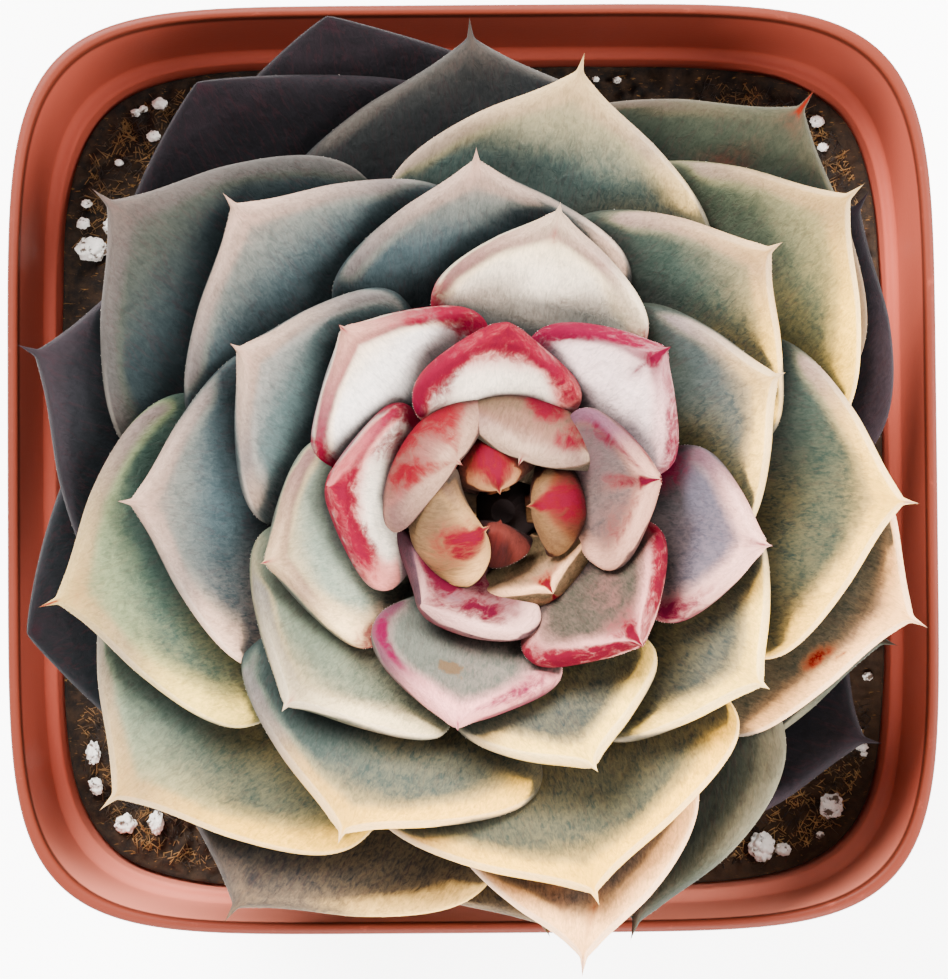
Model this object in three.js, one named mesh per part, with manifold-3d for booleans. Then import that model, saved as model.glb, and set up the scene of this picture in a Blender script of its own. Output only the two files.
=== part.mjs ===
import * as THREE from "three";
import { mergeVertices } from "three/addons/utils/BufferGeometryUtils.js";
import Module from "manifold-3d";

// Driving dimensions of the pot, in millimetres
const POT_HALF = 47.5;
const POT_HEIGHT = 82;
const POT_SQUARENESS = 6;
const POT_SIDES = 40;
const FOOT_HALF = 34.8;
const FOOT_ROUND = 1.6;
const WALL = 1.5;
const FLOOR = 1.8;
const LIP_WIDTH = 1.1;
const LIP_HEIGHT = 2.2;
const LIP_PROUD = 0.9;
const LIP_ROUND = 0.4;
const COLLAR_DEPTH = 16;
const COLLAR_DRAFT = 1.2;
const COLLAR_STEP = 1.4;
const LEDGE_WIDTH = 1.2;
const LEDGE_THICK = 1.6;
const DRAIN_RADIUS = 4;
const DRAIN_SIDES = 12;
const DRAIN_PLACE = 23;
const FIT_GAP = 0.3;
const FINEST_CUT = 0.01;

// Driving dimensions of the soil and its grains
const SOIL_DROP = 1.4;
const SOIL_MOUND = 2.4;
const SOIL_LUMP = 0.45;
const BROAD_LUMP = 19;
const FINE_LUMP = 12;
const SOIL_RINGS = 10;
const STEM_HOLE_DEPTH = 14;
const STEM_HOLE_RADIUS = 7.5;
const GRAIN_SUNK = 0.25;
const GRAIN_WOBBLE = 0.14;

// Driving dimensions of the stem and the rosette
const ROSETTE = { x: 3, y: -5.2 };
const STEM_RADIUS = 7.2;
const STEM_TIP_RADIUS = 1.2;
const STEM_SIDES = 16;
const STEM_RINGS = 6;
const LOWEST_LEAF_Z = 72;
const LEAF_PITCH = 0.52;
const STEM_SHOULDER_LEAF = 16;

// Driving dimensions that every leaf shares
const LEAF_SIDES = 10;
const LEAF_RINGS = 11;
const RING_CROWDING = 1.5;
const BASE_CAP = 0.012;
const SLOPE_STEP = 0.01;
const WIDEST_AT = 0.6;
const BLADE_END = 0.955;
const BASE_SHARE = 0.24;
const SPINE_RADIUS = 0.45;
const SPINE_SHARE = 0.05;
const BELLY = 2.4;
const FACE = 1.2;
const FOOT_FULLNESS = 0.4;
const FULL_FROM = 0.6;
const THROUGH_POWER = 0.8;
const ACROSS_POWER = 0.9;
const OUTER_CUP = 0.1;
const INNER_CUP = 0.42;
const CUP_POWER = 0.6;
const OUTER_RISE = { foot: 8, tip: 37 };
const INNER_RISE = { foot: 56, tip: 68 };
const BUD_SQUAT = 0.72;
const BUD_BLUNTNESS = 0.55;

// The leaves from the bud outwards. A leaf's bearing is its tip's, in degrees from +X, its reach is
// its tip's distance from the middle of the rosette, and its foot sits that many degrees round from
// its tip. A bud leaf has a length and a rise of its own, because it curls over the middle.
const LEAVES = [
  { bearing: 255, width: 7, rise: { foot: 15, tip: 176 }, length: 7.5 },
  { bearing: 103, width: 8, rise: { foot: 15, tip: 172 }, length: 12.2 },
  { bearing: 5, width: 10, rise: { foot: 15, tip: 166 }, length: 12.6 },
  { bearing: 232, width: 13, foot: -53, rise: { foot: 15, tip: 170 }, length: 15.8 },
  { bearing: 134, width: 17, foot: 12, rise: { foot: 15, tip: 145 }, length: 19 },
  { bearing: 70, width: 16, rise: { foot: 15, tip: 158 }, length: 19.2 },
  { bearing: 300, reach: 9.6, width: 14, rise: { foot: 38, tip: 62 } },
  { bearing: 9, reach: 15.3, width: 16, foot: 3 },
  { bearing: 229, reach: 12.3, width: 17, foot: 18, blade: 1 },
  { bearing: 88, reach: 17.3, width: 16.5, foot: 7, blade: 1 },
  { bearing: 314, reach: 19, width: 18, foot: 3 },
  { bearing: 173, reach: 17, width: 18.5, blade: 1 },
  { bearing: 43, reach: 22, width: 18.5, foot: 6 },
  { bearing: 258, reach: 22, width: 19, foot: -4 },
  { bearing: 132, reach: 23.5, width: 21.5, foot: -2 },
  { bearing: 193, reach: 24, width: 21, foot: -2 },
  { bearing: 351, reach: 26, width: 17.5, foot: 1 },
  { bearing: 289, reach: 27, width: 21, foot: -5 },
  { bearing: 79, reach: 29.5, width: 21.5 },
  { bearing: 222.5, reach: 29, width: 26.5, foot: -5 },
  { bearing: 149, reach: 30.5, width: 26 },
  { bearing: 25, reach: 30, width: 25, foot: 1.5 },
  { bearing: 325, reach: 31, width: 26 },
  { bearing: 94, reach: 34.5, width: 29.5, foot: 1.5 },
  { bearing: 243.5, reach: 36, width: 32, foot: -3 },
  { bearing: 179, reach: 37, width: 31.5 },
  { bearing: 43, reach: 37, width: 29, foot: 6 },
  { bearing: 283, reach: 39.3, width: 37, foot: -2.5 },
  { bearing: 131.5, reach: 40.5, width: 34.5 },
  { bearing: 0, reach: 40, width: 32, foot: 4 },
  { bearing: 192, reach: 45.5, width: 33.5, foot: -4 },
  { bearing: 79.5, reach: 44.5, width: 33, foot: 1.5 },
  { bearing: 279, reach: 45.7, width: 25, foot: 6 },
  { bearing: 142, reach: 50, width: 36 },
  { bearing: 41.5, reach: 47, width: 33, foot: 2 },
  { bearing: 216.5, reach: 48.7, width: 37.5, foot: -3 },
  { bearing: 344, reach: 43, width: 34.5, foot: 6 },
  { bearing: 161, reach: 50, width: 41, foot: 1 },
  { bearing: 53, reach: 51, width: 39 },
  { bearing: 286, reach: 44, width: 32, foot: 15 },
  { bearing: 235.5, reach: 48.7, width: 39 },
  { bearing: 93.5, reach: 49, width: 42 },
  { bearing: 341, reach: 41.5, width: 33 },
  { bearing: 194, reach: 48.5, width: 43, foot: -2, blade: 1 },
  { bearing: 276, reach: 42.5, width: 36, foot: -8 },
  { bearing: 125, reach: 52.5, width: 46, foot: 2, blade: 1 },
  { bearing: 41, reach: 49, width: 35, foot: -6 },
  { bearing: 328.5, reach: 44.5, width: 32, foot: -8 },
  { bearing: 109, reach: 53, width: 46, foot: 4, blade: 1 },
];

// The largest perlite grains, each a piece of its own, and the small ones that are bedded in the soil
const LARGE_GRAINS = [
  { x: -40.2, y: 24.2, size: [1.8, 1.4, 1.3], turn: 20 },
  { x: 30.2, y: -39.5, size: [1.5, 1.6, 1.3], turn: 40 },
  { x: -37.9, y: 26.7, size: [1.2, 1, 0.9], turn: 70 },
  { x: -33.6, y: -36.5, size: [0.9, 1.3, 0.9], turn: 10 },
  { x: -36.8, y: -36.6, size: [1.2, 1.1, 1], turn: 55 },
  { x: 37.6, y: -35.2, size: [1.3, 1.4, 1.1], turn: 80 },
  { x: -40.2, y: -29.1, size: [0.8, 1.3, 0.9], turn: 30 },
];
const SMALL_GRAINS = [
  { x: -41.1, y: 27, size: 0.8 },
  { x: -40.7, y: 29.1, size: 0.6 },
  { x: -33.6, y: 36.2, size: 0.8 },
  { x: -35.5, y: 38.8, size: 0.6 },
  { x: -34.7, y: 39.2, size: 0.5 },
  { x: -37.3, y: 33.5, size: 0.5 },
  { x: -32.9, y: 39.7, size: 0.9 },
  { x: -40, y: -32.3, size: 0.8 },
  { x: -39.9, y: -33, size: 0.7 },
  { x: 32.5, y: -39.8, size: 0.9 },
  { x: 36.4, y: -38.3, size: 0.5 },
  { x: 41.6, y: -21.6, size: 0.6 },
  { x: 41, y: -29, size: 0.7 },
  { x: 41.2, y: -29.8, size: 0.4 },
  { x: 36.9, y: 37.4, size: 0.8 },
  { x: 37.5, y: 34.6, size: 0.6 },
  { x: 41.7, y: 23.7, size: 0.6 },
  { x: 13.4, y: 42.1, size: 0.4 },
  { x: 15.7, y: 42, size: 0.5 },
];

const RADIANS = Math.PI / 180;
const COLLAR_FOOT_HALF = POT_HALF - LIP_WIDTH - COLLAR_DRAFT;
const LEDGE_Z = POT_HEIGHT - COLLAR_DEPTH;
const SOIL_HALF = COLLAR_FOOT_HALF - LEDGE_WIDTH;
const SOIL_Z = LEDGE_Z - SOIL_DROP;

const wasm = await Module();
wasm.setup();

function closedMesh(geometry) {
  const bare = geometry.index ? geometry.clone() : geometry;
  bare.deleteAttribute("normal");
  bare.deleteAttribute("uv");
  return mergeVertices(bare, 1e-4);
}

function toSolid(geometry) {
  const mesh = closedMesh(geometry);
  return new wasm.Manifold(
    new wasm.Mesh({
      numProp: 3,
      vertProperties: new Float32Array(mesh.attributes.position.array),
      triVerts: new Uint32Array(mesh.index.array),
    }),
  );
}

function toGeometry(solid) {
  const mesh = solid.getMesh();
  const geometry = new THREE.BufferGeometry();
  geometry.setAttribute("position", new THREE.BufferAttribute(new Float32Array(mesh.vertProperties), 3));
  geometry.setIndex(new THREE.BufferAttribute(new Uint32Array(mesh.triVerts), 1));
  geometry.computeVertexNormals();
  return geometry;
}

// Moves every vertex of a geometry to where place says
function reshape(geometry, place) {
  const position = geometry.attributes.position;
  const point = new THREE.Vector3();
  for (let i = 0; i < position.count; i += 1) {
    point.fromBufferAttribute(position, i);
    const moved = place(point);
    position.setXYZ(i, moved.x, moved.y, moved.z);
  }
  return geometry;
}

function mix(from, to, share) {
  return from + (to - from) * share;
}

function seeded(seed) {
  let state = seed;
  return () => {
    state = (state * 1664525 + 1013904223) % 4294967296;
    return state / 4294967296;
  };
}

// A turned shape stands along +Z, and its circles become squares with round corners
function turned(profile, sides) {
  const points = profile.map(([radius, z]) => new THREE.Vector2(radius, z));
  return closedMesh(new THREE.LatheGeometry(points, sides).rotateX(Math.PI / 2));
}

function signedPower(value, power) {
  return Math.abs(value) < 1e-6 ? 0 : Math.sign(value) * Math.abs(value) ** power;
}

function squared(point, squareness) {
  const radius = Math.hypot(point.x, point.y);
  if (radius < 1e-6) return point.clone();
  const power = 2 / squareness;
  return new THREE.Vector3(
    radius * signedPower(point.x / radius, power),
    radius * signedPower(point.y / radius, power),
    point.z,
  );
}

function potGeometry() {
  const collarOut = POT_HALF - LIP_PROUD;
  const collarFoot = COLLAR_FOOT_HALF + WALL;
  const wallTop = SOIL_HALF + WALL;
  const rimIn = POT_HALF - LIP_WIDTH;
  const profile = [
    [0, 0],
    [FOOT_HALF - FOOT_ROUND, 0],
    [FOOT_HALF - FOOT_ROUND / 3, FOOT_ROUND / 3],
    [FOOT_HALF, FOOT_ROUND],
    [wallTop, LEDGE_Z - LEDGE_THICK - COLLAR_STEP],
    [collarFoot, LEDGE_Z - LEDGE_THICK],
    [collarOut, POT_HEIGHT - LIP_HEIGHT],
    [POT_HALF, POT_HEIGHT - LIP_HEIGHT + LIP_ROUND],
    [POT_HALF, POT_HEIGHT - LIP_ROUND],
    [POT_HALF - LIP_ROUND, POT_HEIGHT],
    [rimIn + LIP_ROUND, POT_HEIGHT],
    [rimIn, POT_HEIGHT - LIP_ROUND],
    [COLLAR_FOOT_HALF, LEDGE_Z],
    [SOIL_HALF, LEDGE_Z],
    [FOOT_HALF - WALL, FLOOR + FOOT_ROUND],
    [FOOT_HALF - WALL - FOOT_ROUND, FLOOR],
    [0, FLOOR],
  ];
  const shell = reshape(turned(profile, POT_SIDES), (point) => squared(point, POT_SQUARENESS));
  let pot = toSolid(shell);
  for (const [x, y] of [[1, 1], [-1, 1], [-1, -1], [1, -1]]) {
    const drain = new THREE.CylinderGeometry(DRAIN_RADIUS, DRAIN_RADIUS, 4 * FLOOR, DRAIN_SIDES);
    drain.rotateX(Math.PI / 2).translate(x * DRAIN_PLACE, y * DRAIN_PLACE, FLOOR / 2);
    pot = pot.subtract(toSolid(drain));
  }
  return toGeometry(pot);
}

// Height of the ground, mounded towards the stem and lumpy
function groundZ(x, y) {
  const away = Math.min(1, Math.hypot(x, y) / SOIL_HALF);
  const broad = Math.sin((2 * Math.PI * x) / BROAD_LUMP) * Math.cos((2 * Math.PI * y) / BROAD_LUMP);
  const fine = Math.sin((2 * Math.PI * (x - y)) / FINE_LUMP) / 2;
  return SOIL_Z + SOIL_MOUND * (1 - away * away) + SOIL_LUMP * (broad + fine);
}

function soilGeometry() {
  const half = SOIL_HALF - 2 * FIT_GAP;
  const bottomHalf = FOOT_HALF - WALL - FIT_GAP;
  const bottomZ = FLOOR + FIT_GAP;
  const profile = [
    [0, bottomZ],
    [bottomHalf - FOOT_ROUND, bottomZ],
    [bottomHalf, bottomZ + FOOT_ROUND],
  ];
  for (let ring = 0; ring <= SOIL_RINGS; ring += 1) {
    const inwards = ring / SOIL_RINGS;
    profile.push([mix(half, STEM_HOLE_RADIUS, inwards), SOIL_Z]);
  }
  profile.push([STEM_HOLE_RADIUS, SOIL_Z - STEM_HOLE_DEPTH]);
  profile.push([0, SOIL_Z - STEM_HOLE_DEPTH]);
  const place = (point) => {
    const radius = Math.hypot(point.x, point.y);
    const outwards = THREE.MathUtils.clamp((radius - STEM_HOLE_RADIUS) / (half - STEM_HOLE_RADIUS), 0, 1);
    const square = squared(point, mix(2, POT_SQUARENESS, Math.sqrt(outwards)));
    const inTheHole = point.z > SOIL_Z - STEM_HOLE_DEPTH - FIT_GAP ? 1 - outwards : 0;
    square.x += ROSETTE.x * inTheHole;
    square.y += ROSETTE.y * inTheHole;
    if (point.z > SOIL_Z - FIT_GAP) square.z = groundZ(square.x, square.y);
    return square;
  };
  let soil = toSolid(reshape(turned(profile, POT_SIDES), place));
  for (const grain of SMALL_GRAINS) {
    const lump = new THREE.IcosahedronGeometry(grain.size, 0);
    lump.translate(grain.x, grain.y, groundZ(grain.x, grain.y));
    soil = soil.add(toSolid(lump));
  }
  for (const grain of LARGE_GRAINS) {
    soil = soil.subtract(toSolid(grainGeometry(grain, FIT_GAP)));
  }
  return toGeometry(soil);
}

// An angular puffed grain, bedded in the ground by its lower half
function grainGeometry(grain, clearance) {
  const random = seeded(grain.turn);
  const lengths = new Map();
  const wobble = (point) => {
    const key = [point.x, point.y, point.z].map((part) => part.toFixed(3)).join();
    if (!lengths.has(key)) lengths.set(key, 1 + GRAIN_WOBBLE * (2 * random() - 1));
    return point.clone().multiplyScalar(lengths.get(key));
  };
  const [long, wide, tall] = grain.size;
  const shape = reshape(closedMesh(new THREE.IcosahedronGeometry(1, 1)), wobble);
  shape.scale(long + clearance, wide + clearance, tall + clearance);
  shape.rotateZ(grain.turn * RADIANS);
  return shape.translate(grain.x, grain.y, groundZ(grain.x, grain.y) + GRAIN_SUNK * tall);
}

function leafFootZ(rank) {
  return LOWEST_LEAF_Z + LEAF_PITCH * (LEAVES.length - 1 - rank);
}

function stemRadius(rank) {
  const towardsShoulder = Math.min(1, rank / STEM_SHOULDER_LEAF);
  return mix(STEM_TIP_RADIUS, STEM_RADIUS, towardsShoulder);
}

function stemGeometry() {
  const footZ = SOIL_Z - STEM_HOLE_DEPTH + FIT_GAP;
  const profile = [
    [0, footZ],
    [STEM_RADIUS - FIT_GAP, footZ],
  ];
  for (let ring = 0; ring <= STEM_RINGS; ring += 1) {
    const rank = STEM_SHOULDER_LEAF * (1 - ring / STEM_RINGS);
    profile.push([stemRadius(rank), leafFootZ(rank)]);
  }
  profile.push([0, leafFootZ(0)]);
  return turned(profile, STEM_SIDES).translate(ROSETTE.x, ROSETTE.y, 0);
}

// Share of the blade's full width at a share along the leaf, narrow at the foot, widest past the
// middle and drawn to a point
function widthShare(along, bladeEnd, bluntness) {
  if (along < WIDEST_AT) {
    return mix(BASE_SHARE, 1, (1 - Math.cos((Math.PI * along) / WIDEST_AT)) / 2);
  }
  const outwards = Math.min(1, (along - WIDEST_AT) / (bladeEnd - WIDEST_AT));
  return Math.max(0, Math.cos((outwards * Math.PI) / 2)) ** bluntness;
}

// Where a leaf's midrib runs: it leaves the stem at one slope and bends evenly to a steeper one
function midrib(leaf, rank) {
  const inwards = 1 - rank / (LEAVES.length - 1);
  const rise = leaf.rise ?? {
    foot: mix(OUTER_RISE.foot, INNER_RISE.foot, inwards),
    tip: mix(OUTER_RISE.tip, INNER_RISE.tip, inwards),
  };
  const start = rise.foot * RADIANS;
  const end = rise.tip * RADIANS;
  const root = stemRadius(rank) + FIT_GAP;
  const bend = (Math.sin(end) - Math.sin(start)) / (end - start);
  const length = leaf.length ?? (leaf.reach - root) / bend;
  const footTurn = leaf.foot ?? 0;
  const squat = leaf.length ? BUD_SQUAT : 1;
  return (along) => {
    const slope = mix(start, end, along);
    const reach = root + (length * (Math.sin(slope) - Math.sin(start))) / (end - start);
    const height = (squat * length * (Math.cos(start) - Math.cos(slope))) / (end - start);
    const bearing = (leaf.bearing + footTurn * (1 - along * along)) * RADIANS;
    const point = new THREE.Vector3(
      ROSETTE.x + reach * Math.cos(bearing),
      ROSETTE.y + reach * Math.sin(bearing),
      leafFootZ(rank) + height,
    );
    const inPlan = leaf.length ? along : (reach - root) / (leaf.reach - root);
    return { point, inPlan };
  };
}

// A leaf is a sphere stretched along its midrib, with its poles at the foot and at the spine's tip.
// It grows from a flat foot to its full thickness at a share of its length. The clearance makes it
// that much thicker and wider, to part it from another leaf.
function leafGeometry(leaf, rank, clearance) {
  const rib = midrib(leaf, rank);
  const up = new THREE.Vector3(0, 0, 1);
  const halfWidth = leaf.width / 2;
  const cup = mix(INNER_CUP, OUTER_CUP, (rank / (LEAVES.length - 1)) ** CUP_POWER);
  const place = (point) => {
    const fromFoot = 1 - Math.acos(THREE.MathUtils.clamp(point.y, -1, 1)) / Math.PI;
    const ring = Math.round(fromFoot * LEAF_RINGS);
    const step = Math.max(0, (ring - 1) / (LEAF_RINGS - 1));
    const along = ring === 0 ? 0 : mix(BASE_CAP, 1, 1 - (1 - step) ** RING_CROWDING);
    const { point: centre, inPlan } = rib(along);
    if (ring === 0 || ring === LEAF_RINGS) return centre;
    const tangent = rib(along + SLOPE_STEP).point.sub(rib(along - SLOPE_STEP).point).normalize();
    const outwards = new THREE.Vector3(centre.x - ROSETTE.x, centre.y - ROSETTE.y, 0).normalize();
    const side = up.clone().cross(outwards);
    side.addScaledVector(tangent, -side.dot(tangent)).normalize();
    const face = tangent.clone().cross(side);
    const ringRadius = Math.hypot(point.x, point.z);
    const across = point.z / ringRadius;
    const through = point.x / ringRadius;
    const share = widthShare(inPlan, leaf.blade ?? BLADE_END, leaf.length ? BUD_BLUNTNESS : 1);
    const spine = SPINE_RADIUS * Math.min(1, (1 - along) / SPINE_SHARE);
    const reach = Math.hypot(halfWidth * share, spine) + clearance;
    const fatness = mix(FOOT_FULLNESS, 1, THREE.MathUtils.smoothstep(along, 0, FULL_FROM));
    const fullness = fatness * Math.sqrt(share);
    const thickness = through > 0 ? FACE : BELLY;
    const offset = Math.hypot(thickness * fullness, spine) + clearance;
    const cupped = cup * halfWidth * share * across * across;
    return centre
      .addScaledVector(side, reach * signedPower(across, ACROSS_POWER))
      .addScaledVector(face, offset * signedPower(through, THROUGH_POWER) + cupped);
  };
  return reshape(closedMesh(new THREE.SphereGeometry(1, LEAF_SIDES, LEAF_RINGS)), place);
}

// Where two leaves press on each other, the outer one is cut back from the inner one
function partedLeaves() {
  const parted = [];
  LEAVES.forEach((leaf, rank) => {
    let outer = toSolid(leafGeometry(leaf, rank, 0));
    parted.forEach((inner, innerRank) => {
      if (outer.intersect(inner).isEmpty()) return;
      const grown = toSolid(leafGeometry(LEAVES[innerRank], innerRank, FIT_GAP));
      outer = outer.subtract(grown).subtract(inner);
      const pieces = outer.decompose().sort((one, other) => other.volume() - one.volume());
      outer = pieces[0].simplify(FINEST_CUT);
    });
    parted.push(outer);
  });
  return parted.map(toGeometry);
}

function finished(name, geometry, colour, roughness) {
  const material = new THREE.MeshStandardMaterial({ color: colour, roughness, metalness: 0 });
  const mesh = new THREE.Mesh(geometry, material);
  mesh.name = name;
  return mesh;
}

function leafColour(rank) {
  const outwards = rank / (LEAVES.length - 1);
  return new THREE.Color("#b9b4a0").lerp(new THREE.Color("#4c5356"), outwards);
}

const plant = new THREE.Group();
plant.add(finished("pot", potGeometry(), "#a8543e", 0.55));
plant.add(finished("soil", soilGeometry(), "#1f140e", 0.95));
plant.add(finished("stem", stemGeometry(), "#6d6a4c", 0.8));
partedLeaves().forEach((geometry, rank) => {
  const name = `leaf_${String(rank + 1).padStart(2, "0")}`;
  plant.add(finished(name, geometry, leafColour(rank), 0.85));
});
LARGE_GRAINS.forEach((grain, index) => {
  plant.add(finished(`perlite_${index + 1}`, grainGeometry(grain, 0), "#d9d4c8", 0.9));
});

export default plant;
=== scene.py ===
# %% [markdown]
# # A velvety echeveria in a square pot
#
# This lesson dresses a plain solid model of a potted rosette. The solids give every size. Each cell
# adds one real thing: the pot's moulded wall, the crumbly soil, and the leaves with their pale
# margins, red tips and short velvet.

# %% The frame
import math
import random

import bmesh
import bpy
from mathutils import Matrix, Vector, noise
from mathutils.bvhtree import BVHTree


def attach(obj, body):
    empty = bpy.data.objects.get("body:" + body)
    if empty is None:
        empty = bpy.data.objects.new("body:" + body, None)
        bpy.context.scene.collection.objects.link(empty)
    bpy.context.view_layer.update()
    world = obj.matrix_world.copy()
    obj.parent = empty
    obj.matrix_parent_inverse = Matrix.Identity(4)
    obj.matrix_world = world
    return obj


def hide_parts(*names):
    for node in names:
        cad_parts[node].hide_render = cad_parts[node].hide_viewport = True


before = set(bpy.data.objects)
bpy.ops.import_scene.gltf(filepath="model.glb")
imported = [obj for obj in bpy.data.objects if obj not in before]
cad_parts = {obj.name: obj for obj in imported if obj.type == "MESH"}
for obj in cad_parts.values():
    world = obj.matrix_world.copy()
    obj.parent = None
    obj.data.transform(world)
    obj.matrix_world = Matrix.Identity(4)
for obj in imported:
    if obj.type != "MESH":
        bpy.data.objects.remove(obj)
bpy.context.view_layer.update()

MM = 0.001
print("nodes in the frame:", len(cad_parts))

# %% [markdown]
# ## The camera
#
# The plant is seen from almost straight above, with a long lens, so the rim of the pot shows as a
# square and its wall hardly at all. A camera is placed by where it stands and what it looks at.

# %% Camera
RIM_Z = 82.0
VIEW_DISTANCE = 450.0
VIEW_TILT = math.radians(3.0)
LOOK_AT = Vector((0.15, -2.35, RIM_Z)) * MM
LENS = 162.2
NEAREST = 0.01


def add_object(name, data):
    made = bpy.data.objects.new(name, data)
    bpy.context.scene.collection.objects.link(made)
    return made


def aim(item):
    item.rotation_euler = (LOOK_AT - item.location).to_track_quat("-Z", "Y").to_euler()


camera_data = bpy.data.cameras.new("camera")
camera_data.lens = LENS
camera_data.clip_start = NEAREST
camera = add_object("camera", camera_data)
camera.location = Vector((
    0,
    -VIEW_DISTANCE * math.sin(VIEW_TILT),
    RIM_Z + VIEW_DISTANCE * math.cos(VIEW_TILT),
)) * MM
aim(camera)
bpy.context.scene.camera = camera
print("camera at", [round(part, 3) for part in camera.location])

# %% [markdown]
# ## Light and floor
#
# A wide soft lamp stands at the upper left and draws the light and dark sides of the leaves. Two
# weaker ones reach into the pot from the right and from the front. The floor is plain and pale, and
# glows as a lit table for photographs does, so it stays white behind the plant.

# %% Light and floor
# Each lamp's place and size in metres, its power in watts, and its colour
LAMPS = {
    "key_lamp": ((-0.30, 0.52, 0.66), 0.55, 42.0, (1.0, 0.99, 0.97)),
    "side_lamp": ((0.62, 0.10, 0.55), 0.6, 18.0, (1.0, 0.98, 0.96)),
    "front_lamp": ((0.10, -0.62, 0.60), 0.6, 22.0, (1.0, 0.98, 0.96)),
}
WHITE = (1.0, 1.0, 1.0, 1.0)
SKY_LIGHT = 1.1
FLOOR_HALF = 3.0
FLOOR_GLOW = 4.0


def add_lamp(name, place, size, power, colour):
    lamp_data = bpy.data.lights.new(name, "AREA")
    lamp_data.shape = "DISK"
    lamp_data.size = size
    lamp_data.energy = power
    lamp_data.color = colour
    lamp = add_object(name, lamp_data)
    lamp.location = place
    aim(lamp)


def mesh_object(name, shape):
    """Writes a bmesh to a mesh once, and puts its object in the scene"""
    mesh = bpy.data.meshes.new(name)
    shape.to_mesh(mesh)
    shape.free()
    return add_object(name, mesh)


for name, values in LAMPS.items():
    add_lamp(name, *values)

world = bpy.data.worlds.new("studio")
world.use_nodes = True
backdrop = world.node_tree.nodes["Background"].inputs
backdrop["Color"].default_value = WHITE
backdrop["Strength"].default_value = SKY_LIGHT
bpy.context.scene.world = world

floor_shape = bmesh.new()
bmesh.ops.create_grid(floor_shape, x_segments=1, y_segments=1, size=FLOOR_HALF)
floor = mesh_object("floor", floor_shape)
print("lamps:", len(LAMPS), "and the floor's half width:", FLOOR_HALF, "m")

# %% [markdown]
# ## Helpers for materials
#
# A material is a small graph of nodes. These helpers add a node, set its values and join its
# sockets, so that each finish below reads as a short recipe.

# %% Material helpers
def linear(code):
    """A screen colour such as #a8543e as the linear colour that the renderer mixes"""
    parts = [int(code[i:i + 2], 16) / 255 for i in (1, 3, 5)]
    parts = [part / 12.92 if part <= 0.04045 else ((part + 0.055) / 1.055) ** 2.4 for part in parts]
    return (*parts, 1.0)


class Finish:
    """A material that is being put together"""

    def __init__(self, name):
        self.material = bpy.data.materials.new(name)
        self.material.use_nodes = True
        self.tree = self.material.node_tree
        self.shader = self.tree.nodes["Principled BSDF"]

    def node(self, kind, sockets=None, **settings):
        made = self.tree.nodes.new(kind)
        for key, value in settings.items():
            setattr(made, key, value)
        for key, value in (sockets or {}).items():
            self.feed(value, made.inputs[key])
        return made

    def feed(self, value, socket):
        if isinstance(value, bpy.types.NodeSocket):
            self.tree.links.new(value, socket)
        else:
            socket.default_value = value

    def shade(self, **values):
        for key, value in values.items():
            self.feed(value, self.shader.inputs[key.replace("_", " ")])

    def math(self, operation, first, second=0.0):
        return self.node("ShaderNodeMath", {0: first, 1: second}, operation=operation).outputs[0]

    def times(self, first, second):
        return self.math("MULTIPLY", first, second)

    def plus(self, first, second):
        return self.math("ADD", first, second)

    def minus(self, first, second):
        return self.math("SUBTRACT", first, second)

    def step(self, value, low, high):
        """0 where the value is under low, 1 over high, and smooth between"""
        sockets = {"Value": value, "From Min": low, "From Max": high}
        made = self.node("ShaderNodeMapRange", sockets, interpolation_type="SMOOTHSTEP")
        return made.outputs["Result"]

    def share(self, value, span, amount):
        """A step over a span of values, which ends at an amount in place of 1"""
        return self.times(self.step(value, *span), amount)

    def mix(self, share, first, second):
        made = self.node("ShaderNodeMix", {0: share, 6: first, 7: second}, data_type="RGBA")
        return made.outputs[2]

    def axes(self, place):
        return self.node("ShaderNodeSeparateXYZ", {0: place}).outputs

    def attribute(self, name, output="Fac"):
        return self.node("ShaderNodeAttribute", attribute_name=name).outputs[output]

    def noise(self, place, scale, detail=4.0, roughness=0.55, distortion=0.0):
        sockets = {
            "Vector": place, "Scale": scale, "Detail": detail,
            "Roughness": roughness, "Distortion": distortion,
        }
        return self.node("ShaderNodeTexNoise", sockets).outputs["Fac"]

    def stretch(self, place, scale):
        sockets = {"Vector": place, "Scale": scale}
        return self.node("ShaderNodeMapping", sockets).outputs["Vector"]

    def bump(self, height, strength, distance):
        sockets = {"Height": height, "Strength": strength, "Distance": distance}
        return self.node("ShaderNodeBump", sockets).outputs["Normal"]

    def place(self):
        return self.node("ShaderNodeTexCoord").outputs["Object"]


floor_finish = Finish("pale_floor")
floor_grain = floor_finish.noise(floor_finish.place(), 60.0)
floor_finish.shade(
    Base_Color=floor_finish.mix(floor_grain, linear("#f4f4f2"), linear("#fbfbfa")),
    Roughness=0.85, Emission_Color=WHITE, Emission_Strength=FLOOR_GLOW,
)
floor.data.materials.append(floor_finish.material)
print("materials so far:", len(bpy.data.materials))

# %% [markdown]
# ## Helpers for pieces
#
# Every piece is made in a bmesh, written to a mesh once, and rides on the frame's one body. A piece
# that stands for a plain solid hides that solid.

# %% Piece helpers
TINY = 1e-9


def finish_piece(name, shape, material, stands_for=()):
    bmesh.ops.recalc_face_normals(shape, faces=shape.faces[:])
    piece = mesh_object(name, shape)
    piece.data.shade_smooth()
    piece.data.materials.append(material)
    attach(piece, "root")
    if stands_for:
        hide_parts(*stands_for)
    return piece


def mix(start, end, share):
    return start + (end - start) * share


def clamp(value, low=0.0, high=1.0):
    return max(low, min(high, value))


def smooth(value):
    value = clamp(value)
    return value * value * (3 - 2 * value)


def signed_power(value, power):
    return math.copysign(abs(value) ** power, value) if abs(value) > TINY else 0.0


print("helpers ready")

# %% [markdown]
# ## The pot's shape
#
# The pot is one moulded shell. Its section is a profile that is spun round the axis, and then each
# circle is pushed out to a square with round corners. A spun circle and its square share the same
# points, so the wall stays one clean grid of faces. The drain holes are cut last.

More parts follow.
